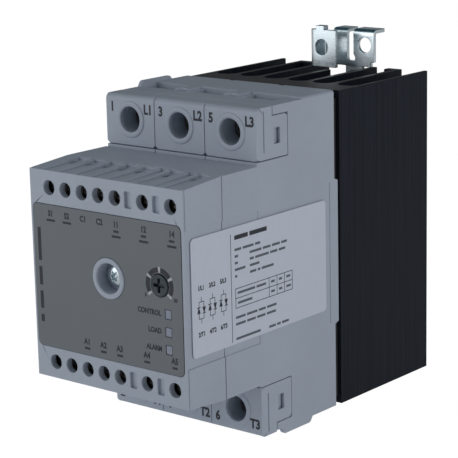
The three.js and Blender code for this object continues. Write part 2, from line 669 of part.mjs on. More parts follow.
// ---- Setting dial and fixing screw ------------------------------------------------------------------
const dial = cut(
  join(rod(0, 0, DIAL.radius, MODULE_FRONT_Y - 0.7, -140.6, 24), rod(0, 0, 1.6, -141, -134.3, 12)),
  block(-0.55, 0.55, MODULE_FRONT_Y - 2, -142.2, -2.4, 2.4),
  block(-2.4, 2.4, MODULE_FRONT_Y - 2, -142.2, -0.55, 0.55),
);
place('setting_dial', dial, BLACK_PLASTIC, [DIAL.x, 0, DIAL.z]);

// A six-lobed socket: two triangles and a disc joined.
function lobedSocket(radius, y0, y1) {
  const star = [0, Math.PI / 3].map((turn) => solid(
    new THREE.CylinderGeometry(radius, radius, y1 - y0, 3).rotateY(turn).translate(0, (y0 + y1) / 2, 0),
  ));
  return join(...star);
}
const fixingScrew = cut(
  join(rod(0, 0, 3.6, -140.4, -137.9, 24), rod(0, 0, 1.9, -138, -100.4, 12)),
  lobedSocket(2.2, -142, -138.9),
);
place('fixing_screw', fixingScrew, ZINC, [FIXING.x, 0, FIXING.z]);

// ---- Mounting bracket, rail latch and its spring ------------------------------------------------------
const EARTH_Y = -16;
const UPPER_PLATE_Y = -7.6;
const RAIL_TOP = RAIL_HEIGHT / 2;
const BEND_RADIUS = 2.3;
const BRACKET = { left: -9.2, right: 15, top: 73.1, shoulder: 70, foot: 60.6, earthFoot: 58.8 };
const EARTH_HOLE = { x: -3.5, z: 66.3, radius: 3 };
const PANEL_HOLE = { x: 10.7, z: 67.1, radius: 3 };
const APRON = { left: -6, right: 13.6, low: 58.8 };
const NECK = { left: 1.7, right: 9.7, low: 20.5 };

// A right-angled bend in sheet metal, its outer corner at (u, v) and its legs ending at uEnd and vEnd.
function bentSheet(u, v, uEnd, vEnd) {
  const alongU = Math.sign(uEnd - u);
  const alongV = Math.sign(vEnd - v);
  const innerU = u + alongU * SHEET;
  const innerV = v + alongV * SHEET;
  const bendU = u + alongU * BEND_RADIUS;
  const bendV = v + alongV * BEND_RADIUS;
  const shape = new THREE.Shape();
  shape.moveTo(uEnd, v);
  shape.lineTo(bendU, v);
  shape.quadraticCurveTo(u, v, u, bendV);
  shape.lineTo(u, vEnd);
  shape.lineTo(innerU, vEnd);
  shape.lineTo(innerU, bendV);
  shape.quadraticCurveTo(innerU, innerV, bendU, innerV);
  shape.lineTo(uEnd, innerV);
  return shape;
}

// The bracket's head: an earth plate in front, a web, and an upper plate with a flange behind.
function bracketHead() {
  const { left, right, top, shoulder, foot, earthFoot } = BRACKET;
  const rear = UPPER_PLATE_Y + SHEET;
  const middle = (EARTH_Y + UPPER_PLATE_Y) / 2;
  const earthPlate = prism('z', bentSheet(left, EARTH_Y, 3.2, middle), earthFoot, top);
  const earthHole = rod(EARTH_HOLE.x, EARTH_HOLE.z, EARTH_HOLE.radius, EARTH_Y - 4, middle, 20);
  const aboveWeb = block(left - 1, left + SHEET, EARTH_Y + BEND_RADIUS, 0, shoulder, top + 1);
  const curl = block(-6.2, -2.3, EARTH_Y, EARTH_Y + 3, top - 0.1, top + SHEET);
  const web = prism('z', bentSheet(left, rear, -4, middle - 0.5), earthFoot, shoulder);
  const upperPlate = prism('x', bentSheet(UPPER_PLATE_Y, top, -0.2, foot), -4.1, right);
  const panelHole = rod(PANEL_HOLE.x, PANEL_HOLE.z, PANEL_HOLE.radius, UPPER_PLATE_Y - 2, rear + 2, 20);
  const slit = join(block(2.6, 5.4, -13, 1, 61.6, top + 2), rod(4.4, 61.8, 1.8, -10, -3, 16));
  const front = join(cut(earthPlate, earthHole, aboveWeb), curl);
  return join(front, web, cut(upperPlate, panelHole, slit));
}

function bracket() {
  const { left, right, low } = NECK;
  const plateRear = UPPER_PLATE_Y + SHEET;
  const apron = block(APRON.left, APRON.right, UPPER_PLATE_Y, plateRear, APRON.low, BRACKET.foot + 0.2);
  const neck = block(left, right, UPPER_PLATE_Y, plateRear, low, APRON.low + 0.2);
  const step = block(left, right, UPPER_PLATE_Y, 0, low, low + SHEET);
  const railPlate = block(-19, 19, -SHEET, 0, -24, low + SHEET);
  const lug = join(block(-4, 4, -SHEET, 0, -51, -23), block(-2.4, 2.4, -5.6, 0, -51, -49.6));
  let body = join(bracketHead(), apron, neck, step, railPlate, lug);
  for (const x of [-14, 14]) {
    const ledge = block(x - 4, x + 4, -SHEET, 3.7, RAIL_TOP + GAP, RAIL_TOP + GAP + SHEET);
    const lip = block(x - 4, x + 4, 2.2, 3.7, RAIL_TOP - 1.8, RAIL_TOP + GAP + SHEET);
    body = join(body, ledge, lip);
  }
  return body;
}
place('mounting_bracket', bracket(), ZINC);

function railLatch() {
  let latch = block(-9.5, 9.5, -5.2, -1.9, -64.2, -24.9);
  latch = cut(latch, block(-3, 3, -6, -1, -52, -33), block(-4, 4, -6, 0, -62.5, -60.5));
  for (const x of [-7.3, 7.3]) {
    const ledge = block(x - 2.2, x + 2.2, -2.4, 3.4, -27, -24.9);
    const nose = polygon([[1.4, -27], [3.4, -27], [3.4, -17.6], [1.9, -16.2], [1.4, -16.2]]);
    latch = join(latch, ledge, prism('x', nose, x - 2.2, x + 2.2));
  }
  return latch;
}
place('rail_latch', railLatch(), BLACK_PLASTIC);

// A helix carried by a round wire section, with its axis upright.
class Helix extends THREE.Curve {
  getPoint(t) {
    const angle = 2 * Math.PI * SPRING.turns * t;
    const z = SPRING.low + (SPRING.high - SPRING.low) * t;
    return new THREE.Vector3(SPRING.radius * Math.cos(angle), -3.6 + SPRING.radius * Math.sin(angle), z);
  }
}
const SPRING = { turns: 6, radius: 1.5, wire: 0.3, low: -49, high: -33.6 };

function latchSpring() {
  const section = new THREE.Shape();
  section.absarc(0, 0, SPRING.wire, 0, 2 * Math.PI);
  return new THREE.ExtrudeGeometry(section, {
    steps: 60,
    curveSegments: 3,
    extrudePath: new Helix(),
    bevelEnabled: false,
  });
}
place('latch_spring', solid(latchSpring()), SPRING_STEEL);

export default relay;
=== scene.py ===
"""Looks of a three-pole solid state relay on its DIN rail bracket.

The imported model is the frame: every moulding, screw and printed mark takes its place from it.
Lengths are in metres, +Z is up and -Y is the front with the control terminals.
"""
import json
import math

import bmesh
import bpy
import numpy as np
from bpy.props import FloatProperty, FloatVectorProperty, IntProperty, PointerProperty
from bpy.types import Operator, Panel, PropertyGroup
from mathutils import Matrix, Quaternion, Vector
from mathutils.kdtree import KDTree


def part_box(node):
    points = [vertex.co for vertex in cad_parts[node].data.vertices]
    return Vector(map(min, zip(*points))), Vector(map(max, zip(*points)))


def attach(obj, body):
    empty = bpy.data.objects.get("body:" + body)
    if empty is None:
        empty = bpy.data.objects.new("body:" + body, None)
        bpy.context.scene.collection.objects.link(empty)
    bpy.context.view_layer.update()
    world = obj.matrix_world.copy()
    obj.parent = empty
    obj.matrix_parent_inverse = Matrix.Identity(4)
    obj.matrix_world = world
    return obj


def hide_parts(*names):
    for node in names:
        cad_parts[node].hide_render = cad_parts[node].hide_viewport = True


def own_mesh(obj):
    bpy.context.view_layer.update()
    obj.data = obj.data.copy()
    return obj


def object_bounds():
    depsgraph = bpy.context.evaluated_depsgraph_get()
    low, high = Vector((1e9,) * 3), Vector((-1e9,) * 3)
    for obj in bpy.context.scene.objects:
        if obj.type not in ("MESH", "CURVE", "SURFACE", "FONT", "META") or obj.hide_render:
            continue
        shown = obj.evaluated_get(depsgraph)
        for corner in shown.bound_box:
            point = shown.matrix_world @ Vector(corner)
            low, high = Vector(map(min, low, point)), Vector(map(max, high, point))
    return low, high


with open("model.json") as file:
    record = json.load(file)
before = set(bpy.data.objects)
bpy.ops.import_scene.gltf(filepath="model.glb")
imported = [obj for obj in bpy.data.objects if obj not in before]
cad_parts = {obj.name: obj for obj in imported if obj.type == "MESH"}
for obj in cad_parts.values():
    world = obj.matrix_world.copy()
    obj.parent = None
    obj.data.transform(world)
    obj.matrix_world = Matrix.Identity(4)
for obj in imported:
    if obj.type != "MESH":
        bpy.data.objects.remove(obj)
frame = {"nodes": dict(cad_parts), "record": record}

bl_info = {
    "name": "Solid State Relay",
    "version": (1, 0, 0),
    "blender": (4, 5, 0),
    "location": "View3D > Sidebar > Relay",
    "description": "Builds the looks of a three-pole solid state relay",
    "category": "Object",
}

CAD_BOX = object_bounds()
MM = 0.001
POLES = (1, 2, 3)
POWER_MARKS = ("L1", "L2", "L3", "T1", "T2", "T3")
COVERS = tuple(f"{side}_cover_{pole}" for side in ("line", "load") for pole in POLES)
UPPER_MARKS = ("S1", "S2", "C1", "C2", "11", "12", "14")
LOWER_MARKS = ("A1", "A2", "A3", "A4", "A5")
LAMP_WORDS = ("CONTROL", "LOAD", "ALARM")


def centre(node):
    """Middle of a node's box."""
    low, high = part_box(node)
    return (low + high) / 2


# ---- Sizes and colours that a user would change ------------------------------------------------


def length_property(name, description, default):
    return FloatProperty(name=name, description=description, default=default, min=0.0, unit="LENGTH")


def color_property(name, description, default):
    return FloatVectorProperty(
        name=name, description=description, default=default, subtype="COLOR", min=0.0, max=1.0,
    )


class RelaySizes(PropertyGroup):
    """Small sizes that the frame leaves open."""

    edge: length_property("Moulded Edge", "Rounding of the moulded housings' edges", 0.28 * MM)
    fine_edge: length_property(
        "Fine Edge", "Rounding of sheet metal, extrusion and small mouldings", 0.14 * MM,
    )
    ink: length_property("Ink Thickness", "How far printed marks stand out of a surface", 0.03 * MM)
    sides: IntProperty(
        name="Sides", description="Sides of a turned piece", default=64, min=16,
    )


class RelayFinishes(PropertyGroup):
    """Colours of the relay's materials."""

    housing: color_property("Housing", "Light grey of the moulded housings", (0.40, 0.45, 0.53))
    plate: color_property("Front Plate", "Mid grey of the printed front plate", (0.160, 0.176, 0.192))
    label: color_property("Label", "Pale film of the side label", (0.60, 0.64, 0.74))
    ink: color_property("Ink", "Dark printing ink", (0.018, 0.021, 0.032))
    sink: color_property("Heat Sink", "Black anodising of the heat sink", (0.011, 0.014, 0.021))
    sawn: color_property("Sawn Ends", "Bare metal of the heat sink's sawn ends", (0.088, 0.078, 0.078))
    zinc: color_property("Zinc", "Bright zinc plating of the bracket", (0.72, 0.80, 0.84))
    bronze: color_property("Terminal Screws", "Warm nickel of the terminal screws", (0.46, 0.37, 0.31))


class RelayStage(PropertyGroup):
    """Camera, lights and floor."""

    eye: FloatVectorProperty(
        name="Camera", description="Where the camera stands",
        default=(0.41498, -0.57650, 0.15881), subtype="TRANSLATION", unit="LENGTH",
    )
    target: FloatVectorProperty(
        name="Target", description="Point at the middle of the view",
        default=(0.0, -0.07794, 0.00739), subtype="TRANSLATION", unit="LENGTH",
    )
    roll: FloatProperty(
        name="Roll", description="How far the camera leans",
        default=math.radians(-1.29), unit="ROTATION",
    )
    lens: FloatProperty(
        name="Lens", description="Focal length in millimetres", default=144.0, min=1.0,
    )
    key: FloatProperty(
        name="Key Light", description="Power of the large light in front, in watts",
        default=3.95, min=0.0,
    )
    fill: FloatProperty(
        name="Fill Light", description="Power of the large light on the right, in watts",
        default=3.75, min=0.0,
    )
    sky: FloatProperty(
        name="Sky", description="Strength of the light from all around", default=0.245, min=0.0,
    )


# ---- Shader node graphs ---------------------------------------------------------------------------


class Graph:
    """Adds nodes to a node tree and links them."""

    def __init__(self, tree):
        self.tree = tree

    def node(self, kind, inputs=None, **settings):
        """A node with its settings made, and each input given a value or linked from a socket."""
        made = self.tree.nodes.new(kind)
        for name, value in settings.items():
            setattr(made, name, value)
        self.feed(made, inputs or {})
        return made

    def feed(self, target, inputs):
        """Gives each named input of a node a value, or a link from a socket."""
        for key, value in inputs.items():
            if isinstance(value, bpy.types.NodeSocket):
                self.tree.links.new(value, target.inputs[key])
            else:
                target.inputs[key].default_value = value

    def math(self, operation, first, second=0.0, clamp=False):
        inputs = {0: first, 1: second}
        return self.node("ShaderNodeMath", inputs, operation=operation, use_clamp=clamp).outputs[0]

    def mix(self, share, first, second):
        """A colour between two colours."""
        made = self.node("ShaderNodeMix", {0: share, 6: first, 7: second}, data_type="RGBA")
        return made.outputs[2]

    def span(self, value, from_low, from_high, to_low, to_high):
        """A value carried from one range to another, and kept inside it."""
        inputs = {0: value, 1: from_low, 2: from_high, 3: to_low, 4: to_high}
        return self.node("ShaderNodeMapRange", inputs, clamp=True).outputs[0]

    def noise(self, vector, scale, detail=2.0, roughness=0.5):
        inputs = {"Vector": vector, "Scale": scale, "Detail": detail, "Roughness": roughness}
        return self.node("ShaderNodeTexNoise", inputs).outputs[0]

    def bump(self, height, depth, strength):
        """A normal tilted by a height whose full range is a depth in millimetres."""
        inputs = {"Height": height, "Distance": depth * MM, "Strength": strength}
        return self.node("ShaderNodeBump", inputs).outputs[0]

    def streaks(self, here, stretch):
        return self.group("streaks", {"Vector": here, "Stretch": stretch})["Lines"]

    def group(self, key, inputs):
        """The outputs of a shared group placed with its own values."""
        return self.node("ShaderNodeGroup", inputs, node_tree=GROUPS[key]).outputs

    def mask(self, key, here, amount):
        return self.group(key, {"Vector": here, "Amount": amount})["Mask"]


def shader_group(name, inputs, outputs, build):
    """A shader node group with named sockets, made once."""
    tree = bpy.data.node_groups.new(name, "ShaderNodeTree")
    for label, kind, value in inputs:
        socket = tree.interface.new_socket(label, in_out="INPUT", socket_type=kind)
        if value is not None:
            socket.default_value = value
    for label, kind in outputs:
        tree.interface.new_socket(label, in_out="OUTPUT", socket_type=kind)
    graph = Graph(tree)
    entry = graph.node("NodeGroupInput")
    ending = graph.node("NodeGroupOutput")
    for label, socket in build(graph, entry.outputs).items():
        tree.links.new(socket, ending.inputs[label])
    return tree


def moulded_grain(graph, given):
    """Fine pits of a spark-eroded mould, and the faint cloudiness of moulded plastic."""
    fine = graph.noise(given["Vector"], given["Grain Scale"], 3.0, 0.65)
    inputs = {"Vector": given["Vector"], "Scale": given["Grain Scale"]}
    cells = graph.node("ShaderNodeTexVoronoi", inputs, feature="SMOOTH_F1").outputs["Distance"]
    height = graph.math("ADD", graph.math("MULTIPLY", cells, 0.5), fine)
    cloud = graph.noise(given["Vector"], 38.0, 3.0, 0.55)
    speck = graph.noise(given["Vector"], 900.0, 1.0, 0.5)
    mottle = graph.math("ADD", graph.span(cloud, 0.3, 0.7, 0.0, 0.8), graph.span(speck, 0.35, 0.65, 0.0, 0.2))
    return {"Height": height, "Mottle": mottle}


def edge_wear(graph, given):
    """Where handling has polished the rounded edges: the stored edge mask broken up by noise."""
    stored = graph.node("ShaderNodeAttribute", attribute_name="edge").outputs["Fac"]
    patches = graph.noise(given["Vector"], given["Patch Scale"], 4.0, 0.6)
    patches = graph.span(patches, 0.42, 0.68, 0.25, 1.0)
    worn = graph.math("MULTIPLY", stored, patches)
    return {"Mask": graph.math("MULTIPLY", worn, given["Amount"], clamp=True)}


def drawn_streaks(graph, given):
    """Lines left along the direction in which metal was drawn or sawn: noise stretched along it."""
    inputs = {0: given["Vector"], 1: given["Stretch"]}
    stretched = graph.node("ShaderNodeVectorMath", inputs, operation="MULTIPLY").outputs[0]
    broad = graph.noise(stretched, 1.0, 4.0, 0.6)
    finer = graph.node("ShaderNodeVectorMath", {0: stretched, "Scale": 4.3}, operation="SCALE")
    fine = graph.noise(finer.outputs[0], 1.0, 2.0, 0.5)
    lines = graph.math("ADD", graph.math("MULTIPLY", broad, 0.65), graph.math("MULTIPLY", fine, 0.35))
    return {"Lines": lines}


def settled_dust(graph, given):
    """Dust on faces that look up, in soft patches."""
    normal = graph.node("ShaderNodeNewGeometry").outputs["Normal"]
    upward = graph.node("ShaderNodeSeparateXYZ", {0: normal}).outputs[2]
    patches = graph.span(graph.noise(given["Vector"], 130.0, 5.0, 0.65), 0.35, 0.75, 0.0, 1.0)
    lying = graph.math("MULTIPLY", graph.span(upward, 0.6, 1.0, 0.0, 1.0), patches)
    return {"Mask": graph.math("MULTIPLY", lying, given["Amount"], clamp=True)}


GROUPS = {}


def make_groups():
    scalar, vector = "NodeSocketFloat", "NodeSocketVector"
    here, amount, mask = ("Vector", vector, None), ("Amount", scalar, 0.5), [("Mask", scalar)]
    GROUPS["grain"] = shader_group(
        "Moulded Grain", [here, ("Grain Scale", scalar, 2500.0)],
        [("Height", scalar), ("Mottle", scalar)], moulded_grain,
    )
    GROUPS["wear"] = shader_group(
        "Edge Wear", [here, ("Patch Scale", scalar, 200.0), amount], mask, edge_wear,
    )
    GROUPS["streaks"] = shader_group(
        "Drawn Streaks", [here, ("Stretch", vector, (1.0, 1.0, 1.0))], [("Lines", scalar)], drawn_streaks,
    )
    GROUPS["dust"] = shader_group("Settled Dust", [here, amount], mask, settled_dust)


def start_material(name, **constants):
    """A material with an empty Principled surface whose constant sockets are set."""
    material = bpy.data.materials.new(name)
    material.use_nodes = True
    material.node_tree.nodes.clear()
    graph = Graph(material.node_tree)
    surface = graph.node("ShaderNodeBsdfPrincipled", constants)
    ending = graph.node("ShaderNodeOutputMaterial")
    graph.tree.links.new(surface.outputs[0], ending.inputs[0])
    here = graph.node("ShaderNodeTexCoord").outputs["Object"]
    return material, graph, surface, here


def tinted(color, share):
    """A colour made lighter (share above 1) or darker, with its alpha."""
    return tuple(min(1.0, part * share) for part in color[:3]) + (1.0,)


def moulding(name, color, roughness=0.5, grain=2600.0, depth=0.012, wear=0.35, dust=0.1, contrast=0.05):
    """Moulded plastic: mottled colour, fine pits, paler worn edges and a little dust on top."""
    material, graph, surface, here = start_material(name)
    grain_out = graph.group("grain", {"Vector": here, "Grain Scale": grain})
    body = graph.mix(grain_out["Mottle"], tinted(color, 1 - contrast), tinted(color, 1 + contrast))
    worn = graph.mask("wear", here, wear)
    body = graph.mix(worn, body, tinted(color, 1.45))
    dusty = graph.mask("dust", here, dust)
    body = graph.mix(dusty, body, (0.55, 0.54, 0.52, 1.0))
    rough = graph.span(grain_out["Mottle"], 0.0, 1.0, roughness - 0.05, roughness + 0.06)
    rough = graph.math("SUBTRACT", rough, graph.math("MULTIPLY", worn, 0.12))
    bump = graph.bump(grain_out["Height"], depth, 0.6)
    graph.feed(surface, {"Base Color": body, "Roughness": rough, "Normal": bump})
    return material


def metal(name, color, roughness=0.3, stretch=(60.0, 60.0, 60.0), contrast=0.12, cloud=90.0, wear=0.3):
    """Plated or rolled metal: clouded colour and roughness, with faint lines along the rolling."""
    material, graph, surface, here = start_material(name, Metallic=1.0)
    lines = graph.streaks(here, stretch)
    cloudy = graph.span(graph.noise(here, cloud, 4.0, 0.6), 0.3, 0.7, 0.0, 1.0)
    body = graph.mix(cloudy, tinted(color, 1 - contrast), tinted(color, 1 + contrast))
    worn = graph.mask("wear", here, wear)
    body = graph.mix(worn, body, tinted(color, 1.25))
    patchy = graph.span(cloudy, 0.0, 1.0, -0.06, 0.08)
    lined = graph.span(lines, 0.3, 0.7, -0.05, 0.07)
    rough = graph.math("ADD", graph.math("ADD", patchy, lined), roughness)
    bump = graph.bump(lines, 0.01, 0.5)
    graph.feed(surface, {"Base Color": body, "Roughness": rough, "Normal": bump})
    return material


def anodised_extrusion(color, sawn):
    """Black anodised extrusion with lines along the drawing direction, and bare sawn ends."""
    material, graph, surface, here = start_material("anodised_extrusion", **{"Specular IOR Level": 0.08})
    drawn = graph.streaks(here, (900.0, 900.0, 9.0))
    sawing = graph.streaks(here, (220.0, 2600.0, 220.0))
    normal = graph.node("ShaderNodeNewGeometry").outputs["Normal"]
    upward = graph.node("ShaderNodeSeparateXYZ", {0: normal}).outputs[2]
    cut_end = graph.span(graph.math("ABSOLUTE", upward), 0.8, 0.9, 0.0, 1.0)
    dark = graph.mix(graph.span(drawn, 0.32, 0.68, 0.0, 1.0), tinted(color, 0.6), tinted(color, 1.7))
    bare = graph.mix(graph.span(sawing, 0.3, 0.7, 0.0, 1.0), tinted(sawn, 0.72), tinted(sawn, 1.2))
    worn = graph.mask("wear", here, 0.55)
    body = graph.mix(cut_end, dark, bare)
    body = graph.mix(worn, body, tinted(sawn, 1.1))
    rough = graph.mix(cut_end, (0.36, 0.36, 0.36, 1.0), (0.5, 0.5, 0.5, 1.0))
    rough = graph.math("ADD", rough, graph.span(drawn, 0.3, 0.7, -0.06, 0.06))
    height = graph.mix(cut_end, drawn, sawing)
    bump = graph.bump(height, 0.012, 0.7)
    metallic = graph.math("MULTIPLY", cut_end, 0.3)
    graph.feed(surface, {"Base Color": body, "Roughness": rough, "Metallic": metallic, "Normal": bump})
    return material


def film(name, color, roughness=0.42, coat=0.0, contrast=0.03):
    """Smooth printed film or ink: faint unevenness and a satin surface."""
    material, graph, surface, here = start_material(name, **{"Coat Weight": coat, "Coat Roughness": 0.25})
    uneven = graph.noise(here, 420.0, 3.0, 0.6)
    body = graph.mix(uneven, tinted(color, 1 - contrast), tinted(color, 1 + contrast))
    rough = graph.span(uneven, 0.3, 0.7, roughness - 0.05, roughness + 0.07)
    bump = graph.bump(uneven, 0.006, 0.4)
    graph.feed(surface, {"Base Color": body, "Roughness": rough, "Normal": bump})
    return material


def frosted_lens(color):
    """Frosted light pipe: milky plastic with some light through it."""
    material, graph, surface, here = start_material(
        "frosted_lens", **{"Transmission Weight": 0.25, "IOR": 1.49, "Specular IOR Level": 0.6},
    )
    milky = graph.noise(here, 700.0, 4.0, 0.6)
    body = graph.mix(milky, tinted(color, 0.9), tinted(color, 1.1))
    graph.feed(surface, {"Base Color": body, "Roughness": graph.span(milky, 0.3, 0.7, 0.28, 0.42)})
    return material


FINISHES = {}


def make_finishes(colors):
    """Every material, by the name of the record's material slot or of the printed finish."""
    even = (300.0, 300.0, 300.0)
    FINISHES.update(
        grey_plastic=moulding("housing_plastic", colors.housing),
        panel_plastic=moulding("front_plate_plastic", colors.plate, 0.48, 3200.0, 0.01, 0.15, 0.04, 0.04),
        label_film=film("label_film", colors.label, 0.36, 0.15),
        black_plastic=moulding("black_plastic", (0.022, 0.022, 0.024), 0.42, 2200.0, 0.012, 0.5),
        dial_plastic=moulding("dial_plastic", (0.035, 0.048, 0.062), 0.34, 2600.0, 0.006, 0.3, 0.0),
        lamp_plastic=frosted_lens((0.36, 0.39, 0.50)),
        zinc_plate=metal("zinc_plate", colors.zinc, 0.27, (40.0, 40.0, 900.0)),
        screw_steel=metal("nickel_screw", colors.bronze, 0.3, even, 0.25, 400.0),
        # Control screws: colour raised far above their own metal as painted light, a painted highlight for
        # the light their deep holes keep from them.
        bright_screw=metal("bright_screw", (0.95, 0.80, 0.70), 0.2, even, 0.2, 400.0),
        # Power screws: colour darkened far below their own metal as painted shade of the deep holes they sit
        # in.
        dull_screw=metal("dull_screw", (0.16, 0.155, 0.15), 0.42, even, 0.2, 400.0),
        copper=metal("copper_bar", (0.72, 0.42, 0.28), 0.32, (900.0, 60.0, 60.0), 0.15),
        anodised_aluminium=anodised_extrusion(colors.sink, colors.sawn),
        circuit_board=moulding("circuit_board", (0.03, 0.11, 0.05), 0.4, 900.0, 0.02, 0.2, 0.05, 0.2),
        ceramic=moulding("ceramic", (0.62, 0.62, 0.58), 0.5, 1800.0, 0.01, 0.2, 0.0),
        spring_steel=metal("spring_wire", (0.52, 0.54, 0.56), 0.25, even),
        ink=film("dark_ink", colors.ink, 0.5),
        pale_ink=film("pale_ink", (0.46, 0.48, 0.52), 0.5),
        grey_ink=film("grey_ink", (0.10, 0.11, 0.14), 0.5),
    )


# ---- Mesh tools ---------------------------------------------------------------------------------------


def placed(name, data):
    """A new object linked to the scene."""
    thing = bpy.data.objects.new(name, data)
    bpy.context.scene.collection.objects.link(thing)
    return thing


def add_piece(name, mesh, body, slot, finish=None):
    """Links a finished mesh, gives it its material and makes it ride on its body."""
    piece = placed(name, mesh)
    mesh.materials.clear()
    mesh.materials.append(FINISHES[finish or slot])
    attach(piece, body)
    return piece


def grid_faces(rows, columns, close_rows, close_columns):
    """Quads of a grid: each joins a point to the next ones along both parameters."""
    r = np.arange(rows if close_rows else rows - 1)
    c = np.arange(columns if close_columns else columns - 1)
    r, c = (part.ravel() for part in np.meshgrid(r, c, indexing="ij"))
    next_r, next_c = (r + 1) % rows, (c + 1) % columns
    row, next_row = r * columns, next_r * columns
    return np.stack([row + c, row + next_c, next_row + next_c, next_row + c], 1)


def mesh_of(points, faces, caps=()):
    """A mesh of points and quads, and of end caps given as rings of indices, its normals outward."""
    mesh = bpy.data.meshes.new("surface")
    mesh.from_pydata(points.reshape(-1, 3).tolist(), [], faces.tolist() + [list(ring) for ring in caps])
    shape = bmesh.new()
    shape.from_mesh(mesh)
    bmesh.ops.remove_doubles(shape, verts=shape.verts, dist=1e-7)
    bmesh.ops.recalc_face_normals(shape, faces=shape.faces)
    shape.to_mesh(mesh)
    shape.free()
    mesh.update()
    return mesh


def turned(profile, sides, closed=False):
    """Surface of revolution about the Y axis: x = r cos a, z = r sin a, with (r, y) from the profile."""
    profile = np.asarray(profile, float)
    angle = np.linspace(0, 2 * math.pi, sides, endpoint=False)
    radius, y = profile[:, :1], profile[:, 1:]
    points = np.stack([radius * np.cos(angle), y + 0 * angle, radius * np.sin(angle)], -1)
    return mesh_of(points, grid_faces(len(profile), sides, closed, True))


def rounded_profile(corners, radius, steps=4):
    """A closed (r, y) outline whose corners are arcs: a quadratic curve between the two cut-off points."""
    corners = np.asarray(corners, float)
    before, after = np.roll(corners, 1, 0), np.roll(corners, -1, 0)

    def stepped(towards):
        away = towards - corners
        length = np.linalg.norm(away, axis=1, keepdims=True)
        return corners + away / length * np.minimum(radius, 0.45 * length)

    start, end = stepped(before), stepped(after)
    t = np.linspace(0, 1, steps + 1)[None, :, None]
    arcs = (1 - t) ** 2 * start[:, None] + 2 * t * (1 - t) * corners[:, None] + t**2 * end[:, None]
    return arcs.reshape(-1, 2)


def drawn_prism(outline, y_front, y_rear):
    """An outline in (x, z) carried straight along Y, closed at both ends."""
    outline = np.asarray(outline, float)
    count = len(outline)
    ends = [np.insert(outline, 1, y, axis=1) for y in (y_front, y_rear)]
    caps = [range(count), range(count, 2 * count)]
    return mesh_of(np.stack(ends), grid_faces(2, count, False, True), caps)


def moved(mesh, place):
    mesh.transform(Matrix.Translation(place))
    return mesh


def joined(meshes):
    """One mesh of several."""
    shape = bmesh.new()
    for mesh in meshes:
        shape.from_mesh(mesh)
    whole = bpy.data.meshes.new("joined")
    shape.to_mesh(whole)
    shape.free()
    return whole


def worked(mesh, *steps):
    """A mesh after modifiers, each given as its type and settings."""
    carrier = placed("carrier", mesh)
    for kind, settings in steps:
        modifier = carrier.modifiers.new(kind.lower(), kind)
        for key, value in settings.items():
            setattr(modifier, key, value)
    bpy.context.view_layer.update()
    evaluated = carrier.evaluated_get(bpy.context.evaluated_depsgraph_get())
    result = bpy.data.meshes.new_from_object(evaluated)
    bpy.data.objects.remove(carrier)
    return result


def without(mesh, tool):
    """A mesh with another cut out of it."""
    cutter = placed("cutter", tool)
    result = worked(mesh, ("BOOLEAN", {"object": cutter, "operation": "DIFFERENCE", "solver": "EXACT"}))
    bpy.data.objects.remove(cutter)
    return result


FLAT = math.radians(0.4)
SHARP = math.radians(28)
ROOM = 0.42
SAMPLE_STEP = 0.35 * MM


def edge_rooms(sharp, width):
    """How wide each sharp edge's rounding may be: less near short edges and near other sharp edges."""
    samples = []
    for edge in sharp:
        first, second = (vertex.co for vertex in edge.verts)
        count = max(2, int(edge.calc_length() / SAMPLE_STEP))
        share = (np.arange(count) + 0.5) / count
        line = np.outer(1 - share, first) + np.outer(share, second)
        samples += [(Vector(point), edge.index) for point in line]
    tree = KDTree(len(samples))
    for index, (point, _) in enumerate(samples):
        tree.insert(point, index)
    tree.balance()
    neighbours = {e.index: {n.index for v in e.verts for n in v.link_edges} for e in sharp}
    rooms = {e.index: width for e in sharp}
    for point, own in samples:
        for _, index, distance in tree.find_range(point, width / ROOM):
            other = samples[index][1]
            if other not in neighbours[own]:
                rooms[own] = min(rooms[own], ROOM * distance)
    chosen = {e.index for e in sharp}
    for edge in sharp:
        for vertex in edge.verts:
            around = [e.calc_length() for e in vertex.link_edges if e.index in chosen]
            rooms[edge.index] = min(rooms[edge.index], ROOM * min(around))
    return rooms


def whole_numbers(items, name):
    """One whole number from each item of a mesh."""
    values = np.zeros(len(items), np.int32)
    items.foreach_get(name, values)
    return values


def softened(mesh, width, segments=2):
    """A mesh whose doubles are merged, flat faces joined and sharp edges rounded, with an edge mask.

    Joined faces are split where they are hollow, because a hollow face can turn triangles over.
    The mask is 1 along the middle of each rounding and 0 on the faces beside it.
    """
    shape = bmesh.new()
    shape.from_mesh(mesh)
    bmesh.ops.remove_doubles(shape, verts=shape.verts, dist=2e-6)
    bmesh.ops.dissolve_limit(
        shape, angle_limit=FLAT, verts=shape.verts, edges=shape.edges, use_dissolve_boundaries=False,
    )
    bmesh.ops.connect_verts_concave(shape, faces=shape.faces)
    weight = shape.edges.layers.float.new("bevel_weight_edge")
    shape.edges.index_update()
    sharp = [e for e in shape.edges if e.is_manifold and e.calc_face_angle(0.0) > SHARP]
    rooms = edge_rooms(sharp, width)
    for edge in sharp:
        edge[weight] = rooms[edge.index] / width
    for face in shape.faces:
        face.material_index = 0
    flat = bpy.data.meshes.new("softened")
    shape.to_mesh(flat)
    shape.free()
    flat.materials.append(FINISHES["ink"])
    flat.materials.append(FINISHES["ink"])
    rounding = {
        "width": width, "segments": segments, "limit_method": "WEIGHT",
        "use_clamp_overlap": False, "material": 1,
    }
    flat = worked(flat, ("BEVEL", rounding))
    corners = whole_numbers(flat.loops, "vertex_index")
    kinds = whole_numbers(flat.polygons, "material_index")
    counts = whole_numbers(flat.polygons, "loop_total")
    lowest = np.ones(len(flat.vertices), np.int32)
    np.minimum.at(lowest, corners, np.repeat(kinds, counts))
    mask = flat.attributes.new("edge", "FLOAT", "POINT")
    mask.data.foreach_set("value", lowest.astype(np.float32))
    flat.polygons.foreach_set("material_index", np.zeros(len(flat.polygons), np.int32))
    flat.materials.clear()
    return smooth(flat)


